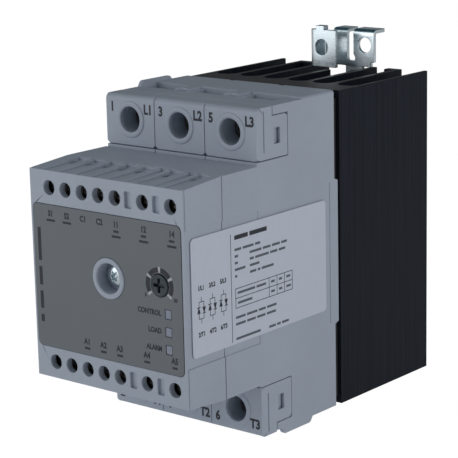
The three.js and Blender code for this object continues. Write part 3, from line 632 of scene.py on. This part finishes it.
def smooth(mesh, angle=math.radians(50)):
    """Smooth shading that keeps flat faces flat and the sharpest edges sharp."""
    mesh.shade_smooth()
    mesh.set_sharp_from_angle(angle=angle)
    return worked(mesh, ("WEIGHTED_NORMAL", {"keep_sharp": True, "weight": 60}))


def softened_node(node, name, body, width, finish=None, segments=2):
    """A node's mesh with rounded edges, standing for that node."""
    slot = SLOTS[node]
    piece = add_piece(name, softened(frame["nodes"][node].data, width, segments), body, slot, finish)
    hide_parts(node)
    return piece


SLOTS = {part["node"]: part["material_slot"] for part in frame["record"]["subparts"]}


# ---- Printed marks ------------------------------------------------------------------------------------

FRONT = Matrix(((1, 0, 0), (0, 0, -1), (0, 1, 0))).to_4x4()
RIGHT = Matrix(((0, 0, 1), (1, 0, 0), (0, 1, 0))).to_4x4()


class Printing:
    """Marks on one flat face, drawn in (u, v) to the right and up, and gathered into one mesh."""

    CAPITAL = 0.7
    NARROW = 0.86
    BOLDNESS = 0.045

    def __init__(self, turn, origin, thickness):
        self.place = Matrix.Translation(origin) @ turn
        self.thickness = thickness
        self.meshes = []

    def text(self, words, u, v, height, anchor="CENTER"):
        """Lettering whose capitals are as tall as height, anchored at (u, v)."""
        curve = bpy.data.curves.new("lettering", "FONT")
        curve.body = words
        curve.align_x = anchor
        curve.extrude = 0.5
        curve.offset = self.BOLDNESS
        curve.resolution_u = 3
        carrier = placed("lettering", curve)
        bpy.context.view_layer.update()
        mesh = bpy.data.meshes.new_from_object(carrier.evaluated_get(bpy.context.evaluated_depsgraph_get()))
        bpy.data.objects.remove(carrier)
        bpy.data.curves.remove(curve)
        scale = height / self.CAPITAL
        lift = Matrix.Translation((0, -self.CAPITAL / 2, 0))
        size = Matrix.Diagonal((scale * self.NARROW, scale, self.thickness, 1))
        mesh.transform(Matrix.Translation((u, v, self.thickness / 2)) @ size @ lift)
        self.meshes.append(mesh)

    def shape(self, outline):
        """A flat shape from its outline."""
        outline = np.asarray(outline, float)
        count = len(outline)
        layers = [np.insert(outline, 2, w, axis=1) for w in (0.0, self.thickness)]
        caps = [range(count), range(count, 2 * count)]
        self.meshes.append(mesh_of(np.stack(layers), grid_faces(2, count, False, True), caps))

    def bar(self, u0, u1, v0, v1):
        self.shape([(u0, v0), (u1, v0), (u1, v1), (u0, v1)])

    def line(self, start, end, width):
        """A straight stroke of even width between two points."""
        start, end = np.asarray(start, float), np.asarray(end, float)
        along = (end - start) / np.linalg.norm(end - start)
        side = np.array([-along[1], along[0]]) * width / 2
        self.shape([start - side, end - side, end + side, start + side])

    def frame(self, u0, u1, v0, v1, width):
        """The four strokes of a rectangle."""
        self.bar(u0, u1, v0, v0 + width)
        self.bar(u0, u1, v1 - width, v1)
        self.bar(u0, u0 + width, v0 + width, v1 - width)
        self.bar(u1 - width, u1, v0 + width, v1 - width)

    def arc(self, inner, outer, start, end, steps=16):
        """Part of a flat ring about the origin, its angles clockwise from straight up."""
        angle = np.linspace(start, end, steps)
        rim = np.stack([np.sin(angle), np.cos(angle)], 1)
        self.shape(np.concatenate([rim * outer, (rim * inner)[::-1]]))

    def dummy_words(self, lengths, u, v, height, gap):
        """Bars in place of words, one after another to the right."""
        for length in lengths:
            self.bar(u, u + length, v - height / 2, v + height / 2)
            u += length + gap

    def mesh(self):
        whole = joined(self.meshes)
        whole.transform(self.place)
        return whole


# ---- Operators --------------------------------------------------------------------------------------------


WHITE = (1.0, 1.0, 1.0, 1.0)


class RelayOperator:
    """What all of the relay's operators share."""

    bl_options = {"REGISTER", "UNDO"}

    @property
    def sizes(self):
        return bpy.context.scene.relay_sizes


class RELAY_OT_stage(RelayOperator, Operator):
    """Sets up the camera, the lights, the white surroundings and the pale floor"""

    bl_idname = "relay.stage"
    bl_label = "Stage"

    def execute(self, context):
        stage = context.scene.relay_stage
        context.scene.view_settings.view_transform = "Standard"
        self.add_camera(context.scene, stage)
        self.add_surroundings(context.scene, stage.sky)
        self.add_floor()
        self.add_light("key_light", (-0.55, -1.0, 0.30), 0.9, stage.key, (0.97, 0.985, 1.0))
        self.add_light("fill_light", (1.1, 0.05, 0.25), 0.9, stage.fill, (0.98, 0.99, 1.0))
        return {"FINISHED"}

    def add_camera(self, scene, stage):
        camera = placed("camera", bpy.data.cameras.new("camera"))
        eye, target = Vector(stage.eye), Vector(stage.target)
        aim = (target - eye).to_track_quat("-Z", "Y")
        camera.rotation_mode = "QUATERNION"
        camera.location = eye
        camera.rotation_quaternion = aim @ Quaternion((0, 0, 1), stage.roll)
        camera.data.lens = stage.lens
        camera.data.sensor_width = 36.0
        camera.data.clip_start = 0.01
        scene.camera = camera

    def add_surroundings(self, scene, strength):
        """White where the camera looks, a sky brighter low down, and darker overhead in reflections."""
        world = bpy.data.worlds.new("studio")
        scene.world = world
        world.use_nodes = True
        world.node_tree.nodes.clear()
        graph = Graph(world.node_tree)
        direction = graph.node("ShaderNodeTexCoord").outputs["Generated"]
        height = graph.node("ShaderNodeSeparateXYZ", {0: direction}).outputs[2]
        path = graph.node("ShaderNodeLightPath").outputs
        shade = graph.span(height, 0.1, 1.0, 1.0, 0.9)
        soft = graph.mix(shade, (0.0, 0.0, 0.0, 1.0), (0.93, 0.965, 1.0, 1.0))
        overhead = graph.span(height, 0.12, 0.5, 0.0, 1.0)
        mirrored = graph.mix(overhead, (0.93, 0.97, 1.0, 1.0), (0.03, 0.16, 0.22, 1.0))
        color = graph.mix(path["Is Glossy Ray"], soft, mirrored)
        lit = graph.node("ShaderNodeBackground", {"Color": color, "Strength": strength})
        seen = graph.node("ShaderNodeBackground", {"Color": WHITE, "Strength": 1.0})
        shares = {0: path["Is Camera Ray"], 1: lit.outputs[0], 2: seen.outputs[0]}
        both = graph.node("ShaderNodeMixShader", shares)
        ending = graph.node("ShaderNodeOutputWorld", {0: both.outputs[0]})
        ending.is_active_output = True

    def add_floor(self):
        """A wide disc just under the relay: point (a, r) of the surface is r cos a, r sin a."""
        low = CAD_BOX[0].z - 1.0 * MM
        angle = np.linspace(0, 2 * math.pi, 96, endpoint=False)
        radius = np.array([0.0, 0.4, 1.5, 6.0])[:, None]
        points = np.stack([radius * np.cos(angle), radius * np.sin(angle), low + 0 * radius * angle], -1)
        mesh = mesh_of(points, grid_faces(4, 96, False, True))
        floor = placed("floor", mesh)
        material, graph, surface, here = start_material(
            "pale_floor", **{"Roughness": 0.9, "Emission Strength": 0.16, "Specular IOR Level": 0.1},
        )
        speckle = graph.noise(here, 60.0, 3.0, 0.5)
        pale = graph.mix(speckle, (0.86, 0.86, 0.86, 1.0), (0.88, 0.88, 0.88, 1.0))
        graph.feed(surface, {"Base Color": pale, "Emission Color": WHITE})
        white = graph.node("ShaderNodeEmission", {"Color": WHITE, "Strength": 1.08})
        seen = graph.math("MULTIPLY", graph.node("ShaderNodeLightPath").outputs["Is Camera Ray"], 0.9)
        both = graph.node("ShaderNodeMixShader", {0: seen, 1: surface.outputs[0], 2: white.outputs[0]})
        ending = next(node for node in graph.tree.nodes if node.type == "OUTPUT_MATERIAL")
        graph.tree.links.new(both.outputs[0], ending.inputs[0])
        mesh.materials.append(material)

    def add_light(self, name, place, size, power, color):
        """A large square light that looks at the middle of the relay."""
        light = placed(name, bpy.data.lights.new(name, "AREA"))
        light.data.size = size
        light.data.energy = power
        light.data.color = color
        light.location = place
        middle = (CAD_BOX[0] + CAD_BOX[1]) / 2
        light.rotation_mode = "QUATERNION"
        light.rotation_quaternion = (middle - Vector(place)).to_track_quat("-Z", "Y")


class RELAY_OT_finishes(RelayOperator, Operator):
    """Makes the shared shader groups and every material, and puts them on the frame's nodes"""

    bl_idname = "relay.finishes"
    bl_label = "Finishes"

    def execute(self, context):
        make_groups()
        make_finishes(context.scene.relay_finishes)
        for node, thing in frame["nodes"].items():
            thing.data.materials.clear()
            thing.data.materials.append(FINISHES[SLOTS[node]])
        return {"FINISHED"}


class RELAY_OT_housings(RelayOperator, Operator):
    """Rounds the edges of the power housing and of both halves of the control module"""

    bl_idname = "relay.housings"
    bl_label = "Housings"

    def execute(self, context):
        for node in ("power_housing", "control_cover", "control_case", "base_plate"):
            softened_node(node, f"{node}_shell", "root", self.sizes.edge)
        return {"FINISHED"}


class RELAY_OT_covers(RelayOperator, Operator):
    """Makes the six terminal covers, with a turned rim round each screw hole and printed marks"""

    bl_idname = "relay.covers"
    bl_label = "Terminal Covers"

    NUMBERS = {"L1": "1", "L2": "3", "L3": "5", "T1": "2", "T2": "4", "T3": "6"}
    LETTER = 3.3 * MM

    def execute(self, context):
        for cover, mark in zip(COVERS, POWER_MARKS):
            softened_node(cover, f"{cover}_shell", cover, self.sizes.edge)
            self.add_rim(cover, mark)
            self.add_marks(cover, mark)
        return {"FINISHED"}

    def add_rim(self, cover, mark):
        """A turned ring with rounded edges that lines the hole and stands out of the cover."""
        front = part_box(cover)[0].y
        hole = centre(f"power_screw_{mark}")
        corners = np.array([(4.58, -0.1), (6.45, -0.1), (6.7, 0.5), (4.6, 2.5)]) * MM
        ring = turned(rounded_profile(corners, 0.7 * MM), self.sizes.sides, closed=True)
        ring = smooth(moved(ring, (hole.x, front, hole.z)))
        add_piece(f"{cover}_rim", ring, cover, "grey_plastic")

    def add_marks(self, cover, mark):
        """The terminal's number on the left of the hole and its name on the right."""
        hole = centre(f"power_screw_{mark}")
        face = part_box(cover)[0].y + 0.35 * MM
        above = 4.2 * MM if mark[0] == "L" else -4.1 * MM
        printing = Printing(FRONT, (hole.x, face, hole.z + above), self.sizes.ink)
        printing.text(self.NUMBERS[mark], -8.5 * MM, 0.0, self.LETTER)
        printing.text(mark, 8.5 * MM, 0.0, self.LETTER)
        add_piece(f"{cover}_marks", printing.mesh(), cover, "black_plastic", "ink")


class RELAY_OT_power_terminals(RelayOperator, Operator):
    """Makes the power terminals' screws, rising cages and bars"""

    bl_idname = "relay.power_terminals"
    bl_label = "Power Terminals"

    def execute(self, context):
        for mark in POWER_MARKS:
            self.add_screw(mark)
            softened_node(f"clamp_cage_{mark}", f"cage_{mark}", f"clamp_cage_{mark}", self.sizes.fine_edge)
            softened_node(f"terminal_bar_{mark}", f"bar_{mark}", "root", self.sizes.fine_edge)
        return {"FINISHED"}

    def add_screw(self, mark):
        node = f"power_screw_{mark}"
        screw = turned_screw(node, 4.1 * MM, 2.4 * MM, 3.0 * MM, self.sizes.sides)
        screw = without(screw, cross_tool(node, 5.6 * MM, 1.2 * MM, 1.7 * MM))
        screw = softened(screw, self.sizes.fine_edge)
        # The darkened screw colour is painted shade for the screw at the bottom of its deep hole.
        piece = add_piece(f"{node}_turned", screw, node, SLOTS[node], "dull_screw")
        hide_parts(node)


def turned_screw(node, head, shank, head_depth, sides, crown=0.25 * MM):
    """A screw turned from one profile: a slightly domed head, a fillet and a plain shank with a chamfer."""
    low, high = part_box(node)
    middle = centre(node)
    share = np.linspace(0, 1, 7)
    dome = np.stack([head * 0.94 * share, low.y + crown * share**2], 1)
    side = [(head, low.y + crown + 0.3 * MM), (head, low.y + head_depth), (shank, low.y + head_depth)]
    tip = [(shank, high.y - 0.6 * MM), (shank - 0.6 * MM, high.y), (0.0, high.y)]
    return moved(turned(np.concatenate([dome, side, tip]), sides), (middle.x, 0.0, middle.z))


def cutter(node, outline, depth):
    """An outline about a node's axis, carried along Y from before the node's front to a depth."""
    low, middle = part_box(node)[0], centre(node)
    tool = drawn_prism(outline, low.y - 1.0 * MM, low.y + depth)
    return moved(tool, (middle.x, 0.0, middle.z))


def cross_tool(node, span, width, depth):
    """A cross-shaped cutter for a screw head: the twelve corners of a plus sign."""
    a, b = span / 2, width / 2
    quarter = np.array([(a, -b), (a, b), (b, b)])
    corners = []
    for t in np.arange(4) * math.pi / 2:
        turn = np.array([[math.cos(t), -math.sin(t)], [math.sin(t), math.cos(t)]])
        corners.append(quarter @ turn.T)
    return cutter(node, np.concatenate(corners), depth)


def slot_tool(node, span, width, depth):
    """A straight cutter for a screw slot."""
    a, b = span / 2, width / 2
    return cutter(node, [(-a, -b), (a, -b), (a, b), (-a, b)], depth)


class RELAY_OT_control_terminals(RelayOperator, Operator):
    """Makes the control terminals' screws and the smooth collars of their holes"""

    bl_idname = "relay.control_terminals"
    bl_label = "Control Terminals"

    EMPTY = 2

    def execute(self, context):
        for mark in UPPER_MARKS + LOWER_MARKS:
            self.add_screw(f"control_screw_{mark}")
        self.add_collars()
        for node in ("upper_terminal_block", "lower_terminal_block"):
            softened_node(node, f"{node}_moulding", "root", self.sizes.fine_edge)
        return {"FINISHED"}

    def add_screw(self, node):
        screw = turned_screw(node, 2.25 * MM, 1.4 * MM, 2.4 * MM, 40, 0.35 * MM)
        screw = without(screw, slot_tool(node, 5.0 * MM, 0.75 * MM, 1.1 * MM))
        screw = without(screw, cross_tool(node, 2.9 * MM, 0.6 * MM, 0.9 * MM))
        screw = softened(screw, 0.08 * MM)
        # The brightened screw colour is a painted highlight that stands in for light the deep hole keeps out.
        piece = add_piece(f"{node}_turned", screw, node, SLOTS[node], "bright_screw")
        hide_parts(node)

    def add_collars(self):
        """A rounded lining at the mouth of each screw hole, the two empty ones included."""
        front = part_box("control_cover")[0].y + 0.5 * MM
        places = [centre(f"control_screw_{mark}") for mark in UPPER_MARKS + LOWER_MARKS]
        pitch = places[1].x - places[0].x
        first_lower = places[len(UPPER_MARKS)]
        places += [first_lower - Vector((pitch * (1 + n), 0, 0)) for n in range(self.EMPTY)]
        corners = np.array([(2.62, -0.03), (3.1, -0.03), (3.1, 0.25), (2.9, 2.6), (2.62, 2.6)]) * MM
        profile = rounded_profile(corners, 0.22 * MM)
        rings = [moved(turned(profile, 40, closed=True), (spot.x, front, spot.z)) for spot in places]
        add_piece("screw_hole_collars", smooth(joined(rings)), "root", "grey_plastic")


class RELAY_OT_heat_sink(RelayOperator, Operator):
    """Rounds the edges of the heat sink's extrusion"""

    bl_idname = "relay.heat_sink"
    bl_label = "Heat Sink"

    def execute(self, context):
        softened_node("heat_sink", "heat_sink_extrusion", "root", self.sizes.fine_edge)
        return {"FINISHED"}


class RELAY_OT_bracket(RelayOperator, Operator):
    """Makes the zinc plated bracket, the rail latch and its coil spring"""

    bl_idname = "relay.bracket"
    bl_label = "Bracket and Latch"

    TURNS = 6
    WIRE = 0.3 * MM

    def execute(self, context):
        softened_node("mounting_bracket", "bracket_sheet", "root", 1.7 * self.sizes.fine_edge, segments=3)
        softened_node("rail_latch", "rail_latch_moulding", "rail_latch", self.sizes.edge)
        self.add_spring()
        return {"FINISHED"}

    def add_spring(self):
        """A round wire on a helix: its centre turns at an even pitch, closer together at both ends."""
        low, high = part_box("latch_spring")
        middle = (low + high) / 2
        radius = (high.x - low.x) / 2 - self.WIRE
        steps, sides = self.TURNS * 32, 12
        t = np.linspace(0, 1, steps)
        rise = t - 0.09 * np.sin(2 * math.pi * t) / 2
        angle = 2 * math.pi * self.TURNS * t
        bottom, top = low.z + self.WIRE, high.z - self.WIRE
        path = np.stack([radius * np.cos(angle), radius * np.sin(angle), bottom + (top - bottom) * rise], 1)
        along = np.gradient(path, axis=0)
        along /= np.linalg.norm(along, axis=1, keepdims=True)
        outward = np.stack([np.cos(angle), np.sin(angle), 0 * angle], 1)
        third = np.cross(along, outward)
        section = np.linspace(0, 2 * math.pi, sides, endpoint=False)[None, :, None]
        ring = np.cos(section) * outward[:, None] + np.sin(section) * third[:, None]
        points = path[:, None] + self.WIRE * ring
        points += (middle.x, middle.y, 0.0)
        caps = [range(sides), range((steps - 1) * sides, steps * sides)]
        mesh = smooth(mesh_of(points, grid_faces(steps, sides, False, True), caps))
        coil = add_piece("latch_spring_coil", mesh, "root", "spring_steel")
        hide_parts("latch_spring")
        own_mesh(coil)


class RELAY_OT_front_plate(RelayOperator, Operator):
    """Makes the front plate and its printed terminal marks, lamp words and title bars"""

    bl_idname = "relay.front_plate"
    bl_label = "Front Plate"

    MARK = 2.0 * MM
    SMALL = 1.0 * MM

    def execute(self, context):
        softened_node("face_plate", "face_plate_moulding", "root", 0.1 * MM)
        self.add_marks()
        return {"FINISHED"}

    def add_marks(self):
        low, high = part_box("face_plate")
        printing = Printing(FRONT, (0.0, low.y, 0.0), self.sizes.ink)
        top, bottom = high.z - 2.95 * MM, low.z + 4.95 * MM
        for mark in UPPER_MARKS:
            x = centre(f"control_screw_{mark}").x + 0.4 * MM
            printing.text(mark, x, top, self.MARK)
            rows = {"S": 1, "1": 2}.get(mark[0], 0)
            for row in range(rows):
                wide = (2.4 + 1.6 * (row + (rows == 1))) * MM
                v = top - (2.45 + 1.8 * row) * MM
                printing.dummy_words([wide], x - wide / 2, v, 0.8 * MM, 0.0)
        for mark in LOWER_MARKS:
            x = centre(f"control_screw_{mark}").x + 0.4 * MM
            printing.text(mark, x, bottom, self.MARK)
            wide = (2.6 if mark != "A5" else 2.2) * MM
            printing.dummy_words([wide], x - wide / 2, bottom - 2.5 * MM, 0.8 * MM, 0.0)
        lamps = sorted({round(v.co.z, 6) for v in frame["nodes"]["light_pipe"].data.vertices}, reverse=True)
        rows = [(lamps[n] + lamps[n + 1]) / 2 for n in (0, 2, 4)]
        lamp_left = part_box("light_pipe")[0].x
        for word, z in zip(LAMP_WORDS, rows):
            printing.text(word, lamp_left - 1.9 * MM, z, 1.75 * MM, "RIGHT")
        title_x = low.x + 2.6 * MM
        v = -17.2 * MM
        for length in (2.6, 6.3, 6.6, 11.8):
            printing.bar(title_x - 0.75 * MM, title_x + 0.75 * MM, v, v + length * MM)
            v += (length + 2.2) * MM
        add_piece("front_plate_marks", printing.mesh(), "root", "black_plastic", "ink")


class RELAY_OT_dial(RelayOperator, Operator):
    """Makes the setting dial with its cross slot, and the ring and ticks round it"""

    bl_idname = "relay.dial"
    bl_label = "Setting Dial"

    TICKS = (-126, -60, 0, 60, 126)
    INNER = 4.35 * MM
    OUTER = 6.1 * MM

    def execute(self, context):
        spot = centre("setting_dial")
        self.add_knob(spot)
        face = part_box("face_plate")[0].y
        self.add_ring(spot, face)
        self.add_scale(spot, face)
        return {"FINISHED"}

    def add_knob(self, spot):
        """The dial turned from one profile, with a cross cut into it."""
        low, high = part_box("setting_dial")
        radius = (high.x - low.x) / 2
        profile = [
            (0.0, low.y + 0.12 * MM), (radius - 0.9 * MM, low.y + 0.12 * MM), (radius - 0.75 * MM, low.y),
            (radius - 0.25 * MM, low.y), (radius, low.y + 0.25 * MM), (radius, low.y + 3.0 * MM),
            (1.6 * MM, low.y + 3.0 * MM), (1.6 * MM, high.y), (0.0, high.y),
        ]
        knob = moved(turned(profile, self.sizes.sides), (spot.x, 0.0, spot.z))
        knob = without(knob, cross_tool("setting_dial", 4.9 * MM, 1.15 * MM, 1.6 * MM))
        piece = add_piece("setting_dial_knob", softened(knob, 0.1 * MM), "setting_dial", "dial_plastic")
        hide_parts("setting_dial")

    def add_ring(self, spot, face):
        """Dark stretches of the scale between the ticks."""
        printing = Printing(FRONT, (spot.x, face, spot.z), self.sizes.ink)
        margin = math.radians(6)
        angles = [math.radians(a) for a in self.TICKS]
        for start, end in zip(angles, angles[1:]):
            printing.arc(self.INNER, self.OUTER, start + margin, end - margin)
        add_piece("dial_ring", printing.mesh(), "root", "dial_plastic", "ink")

    def add_scale(self, spot, face):
        """Pale ticks across the ring, and small end numbers."""
        pale = Printing(FRONT, (spot.x, face, spot.z), self.sizes.ink)
        half = math.radians(4.5)
        for angle in (math.radians(a) for a in self.TICKS):
            pale.arc(self.INNER, self.OUTER + 0.2 * MM, angle - half, angle + half, 3)
        add_piece("dial_ticks", pale.mesh(), "root", "label_film", "pale_ink")
        numbers = Printing(FRONT, (spot.x, face, spot.z), self.sizes.ink)
        numbers.text("5", -6.3 * MM, -4.0 * MM, 1.25 * MM)
        numbers.text("50", 6.9 * MM, -4.1 * MM, 1.25 * MM)
        add_piece("dial_numbers", numbers.mesh(), "root", "black_plastic", "ink")


class RELAY_OT_fixing_screw(RelayOperator, Operator):
    """Makes the fixing screw with its six-lobed socket, and the turned recess that it sits in"""

    bl_idname = "relay.fixing_screw"
    bl_label = "Fixing Screw"

    def execute(self, context):
        node = "fixing_screw"
        screw = turned_screw(node, 3.6 * MM, 1.9 * MM, 2.5 * MM, self.sizes.sides, 0.45 * MM)
        screw = without(screw, self.lobed_tool(node, 1.55 * MM, 0.32 * MM, 1.5 * MM))
        piece = add_piece("fixing_screw_turned", softened(screw, 0.1 * MM), node, SLOTS[node])
        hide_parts(node)
        self.add_recess(node)
        return {"FINISHED"}

    def lobed_tool(self, node, radius, lobe, depth):
        """A six-lobed cutter: at angle a its outline is radius + lobe cos 6a from the middle."""
        angle = np.linspace(0, 2 * math.pi, 72, endpoint=False)
        reach = radius + lobe * np.cos(6 * angle)
        return cutter(node, np.stack([reach * np.cos(angle), reach * np.sin(angle)], 1), depth)

    def add_recess(self, node):
        """The recess' rounded rim and smooth wall, turned from one closed profile."""
        middle = centre(node)
        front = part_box("control_cover")[0].y
        corners = np.array([(5.25, -0.12), (7.2, -0.12), (7.2, 0.9), (5.5, 5.3), (5.25, 5.3)]) * MM
        ring = turned(rounded_profile(corners, 0.75 * MM), self.sizes.sides, closed=True)
        ring = smooth(moved(ring, (middle.x, front, middle.z)))
        add_piece("fixing_screw_recess", ring, "root", "grey_plastic")


class RELAY_OT_lamps(RelayOperator, Operator):
    """Makes the light pipe with its three frosted windows"""

    bl_idname = "relay.lamps"
    bl_label = "Lamps"

    def execute(self, context):
        softened_node("light_pipe", "light_pipe_moulding", "root", 0.2 * MM, segments=3)
        return {"FINISHED"}


class RELAY_OT_rating_label(RelayOperator, Operator):
    """Makes the side label with its thyristor symbols, dummy lines and table grid"""

    bl_idname = "relay.rating_label"
    bl_label = "Side Label"

    STROKE = 0.24 * MM

    def execute(self, context):
        softened_node("rating_label", "label_sheet", "root", 0.05 * MM)
        low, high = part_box("rating_label")
        self.add_symbols(low, high)
        self.add_lines(low, high)
        return {"FINISHED"}

    def add_symbols(self, low, high):
        """Three pairs of thyristors, each back to back between its terminals, and the dividing line."""
        printing = Printing(RIGHT, (high.x, low.y, 0.0), self.sizes.ink)
        divider = 20.4 * MM
        printing.bar(divider - 0.12 * MM, divider + 0.12 * MM, low.z + 0.8 * MM, high.z - 2.2 * MM)
        for pole, u in zip(POLES, np.array((4.7, 10.4, 16.1)) * MM):
            self.add_symbol(printing, u, -4.4 * MM)
            printing.text(f"{2 * pole - 1}/L{pole}", u, 3.2 * MM, 1.5 * MM)
            printing.text(f"{2 * pole}/T{pole}", u, -12.6 * MM, 1.5 * MM)
        add_piece("label_symbols", printing.mesh(), "root", "black_plastic", "ink")

    def add_symbol(self, printing, u, v):
        """One switch: a rectangle of wire with an arrow up on its left and an arrow down on its right."""
        w, h, lead = 1.35 * MM, 3.0 * MM, 1.5 * MM
        printing.line((u, v + h), (u, v + h + lead), self.STROKE)
        printing.line((u, v - h), (u, v - h - lead), self.STROKE)
        printing.frame(u - w, u + w, v - h, v + h, self.STROKE)
        for side, way in ((-1, 1), (1, -1)):
            x = u + side * w
            tip, base, half = v + way * 1.1 * MM, v - way * 1.0 * MM, 0.85 * MM
            printing.shape([(x - half, base), (x + half, base), (x + 0.1 * MM, tip), (x - 0.1 * MM, tip)])
            printing.line((x - half, tip), (x + half, tip), 1.2 * self.STROKE)

    def add_lines(self, low, high):
        """Bars in place of the text, and a table grid of two rows and four columns."""
        dark = Printing(RIGHT, (high.x, low.y, 0.0), self.sizes.ink)
        left = 22.4 * MM
        dark.dummy_words(np.array((7.2, 9.4)) * MM, left, 16.6 * MM, 1.5 * MM, 0.9 * MM)
        dark.frame(left, left + 31.5 * MM, -8.0 * MM, -1.0 * MM, self.STROKE)
        dark.bar(left, left + 31.5 * MM, -4.6 * MM, -4.6 * MM + self.STROKE)
        for u in (18.2, 22.6, 26.8):
            dark.bar(left + u * MM, left + u * MM + self.STROKE, -8.0 * MM, -1.0 * MM)
        add_piece("label_heading", dark.mesh(), "root", "black_plastic", "ink")
        pale = Printing(RIGHT, (high.x, low.y, 0.0), self.sizes.ink)
        rows = (
            (12.4, 0.0, (3.6, 5.8, 2.8)), (10.1, 0.0, (1.8,)), (10.1, 8.0, (6.4, 4.2, 4.4, 3.2)),
            (7.8, 0.0, (1.6,)), (7.8, 8.0, (2.2, 7.4, 4.0, 3.6)), (5.5, 0.0, (5.6,)), (5.5, 8.0, (5.2,)),
            (3.2, 0.0, (1.2,)), (3.2, 8.0, (3.4, 1.4, 6.6)), (-2.7, 1.2, (9.4, 5.2)), (-6.2, 1.2, (7.8,)),
            (-2.7, 19.4, (2.0,)), (-2.7, 23.8, (1.8,)), (-2.7, 28.0, (2.2,)), (-6.2, 19.4, (2.0,)),
            (-6.2, 23.8, (1.8,)), (-6.2, 27.9, (2.6,)), (-11.2, 0.0, (5.2, 5.6, 3.8, 5.2)),
            (-13.5, 0.0, (5.2, 4.6, 4.6, 5.0)), (-18.6, 0.0, (13.2,)), (-18.6, 18.0, (3.6, 2.0, 3.8)),
        )
        for v, start, words in rows:
            pale.dummy_words(np.array(words) * MM, left + start * MM, v * MM, 0.85 * MM, 0.8 * MM)
        add_piece("label_lines", pale.mesh(), "root", "black_plastic", "grey_ink")


OPERATORS = (
    RELAY_OT_stage, RELAY_OT_finishes, RELAY_OT_housings, RELAY_OT_covers, RELAY_OT_power_terminals,
    RELAY_OT_control_terminals, RELAY_OT_heat_sink, RELAY_OT_bracket, RELAY_OT_front_plate, RELAY_OT_dial,
    RELAY_OT_fixing_screw, RELAY_OT_lamps, RELAY_OT_rating_label,
)


class RELAY_PT_panel(Panel):
    """Lists the relay's sizes, colours and operators"""

    bl_idname = "RELAY_PT_panel"
    bl_label = "Solid State Relay"
    bl_space_type = "VIEW_3D"
    bl_region_type = "UI"
    bl_category = "Relay"

    def draw(self, context):
        for settings in (context.scene.relay_sizes, context.scene.relay_finishes, context.scene.relay_stage):
            box = self.layout.box()
            for name in settings.__annotations__:
                box.prop(settings, name)
        for operator in OPERATORS:
            self.layout.operator(operator.bl_idname)


CLASSES = (RelaySizes, RelayFinishes, RelayStage, *OPERATORS, RELAY_PT_panel)


def register():
    for cls in CLASSES:
        bpy.utils.register_class(cls)
    bpy.types.Scene.relay_sizes = PointerProperty(type=RelaySizes)
    bpy.types.Scene.relay_finishes = PointerProperty(type=RelayFinishes)
    bpy.types.Scene.relay_stage = PointerProperty(type=RelayStage)


def unregister():
    del bpy.types.Scene.relay_stage
    del bpy.types.Scene.relay_finishes
    del bpy.types.Scene.relay_sizes
    for cls in reversed(CLASSES):
        bpy.utils.unregister_class(cls)


def main():
    register()
    for operator in OPERATORS:
        group, name = operator.bl_idname.split(".")
        getattr(getattr(bpy.ops, group), name)()


if __name__ == "__main__":
    main()
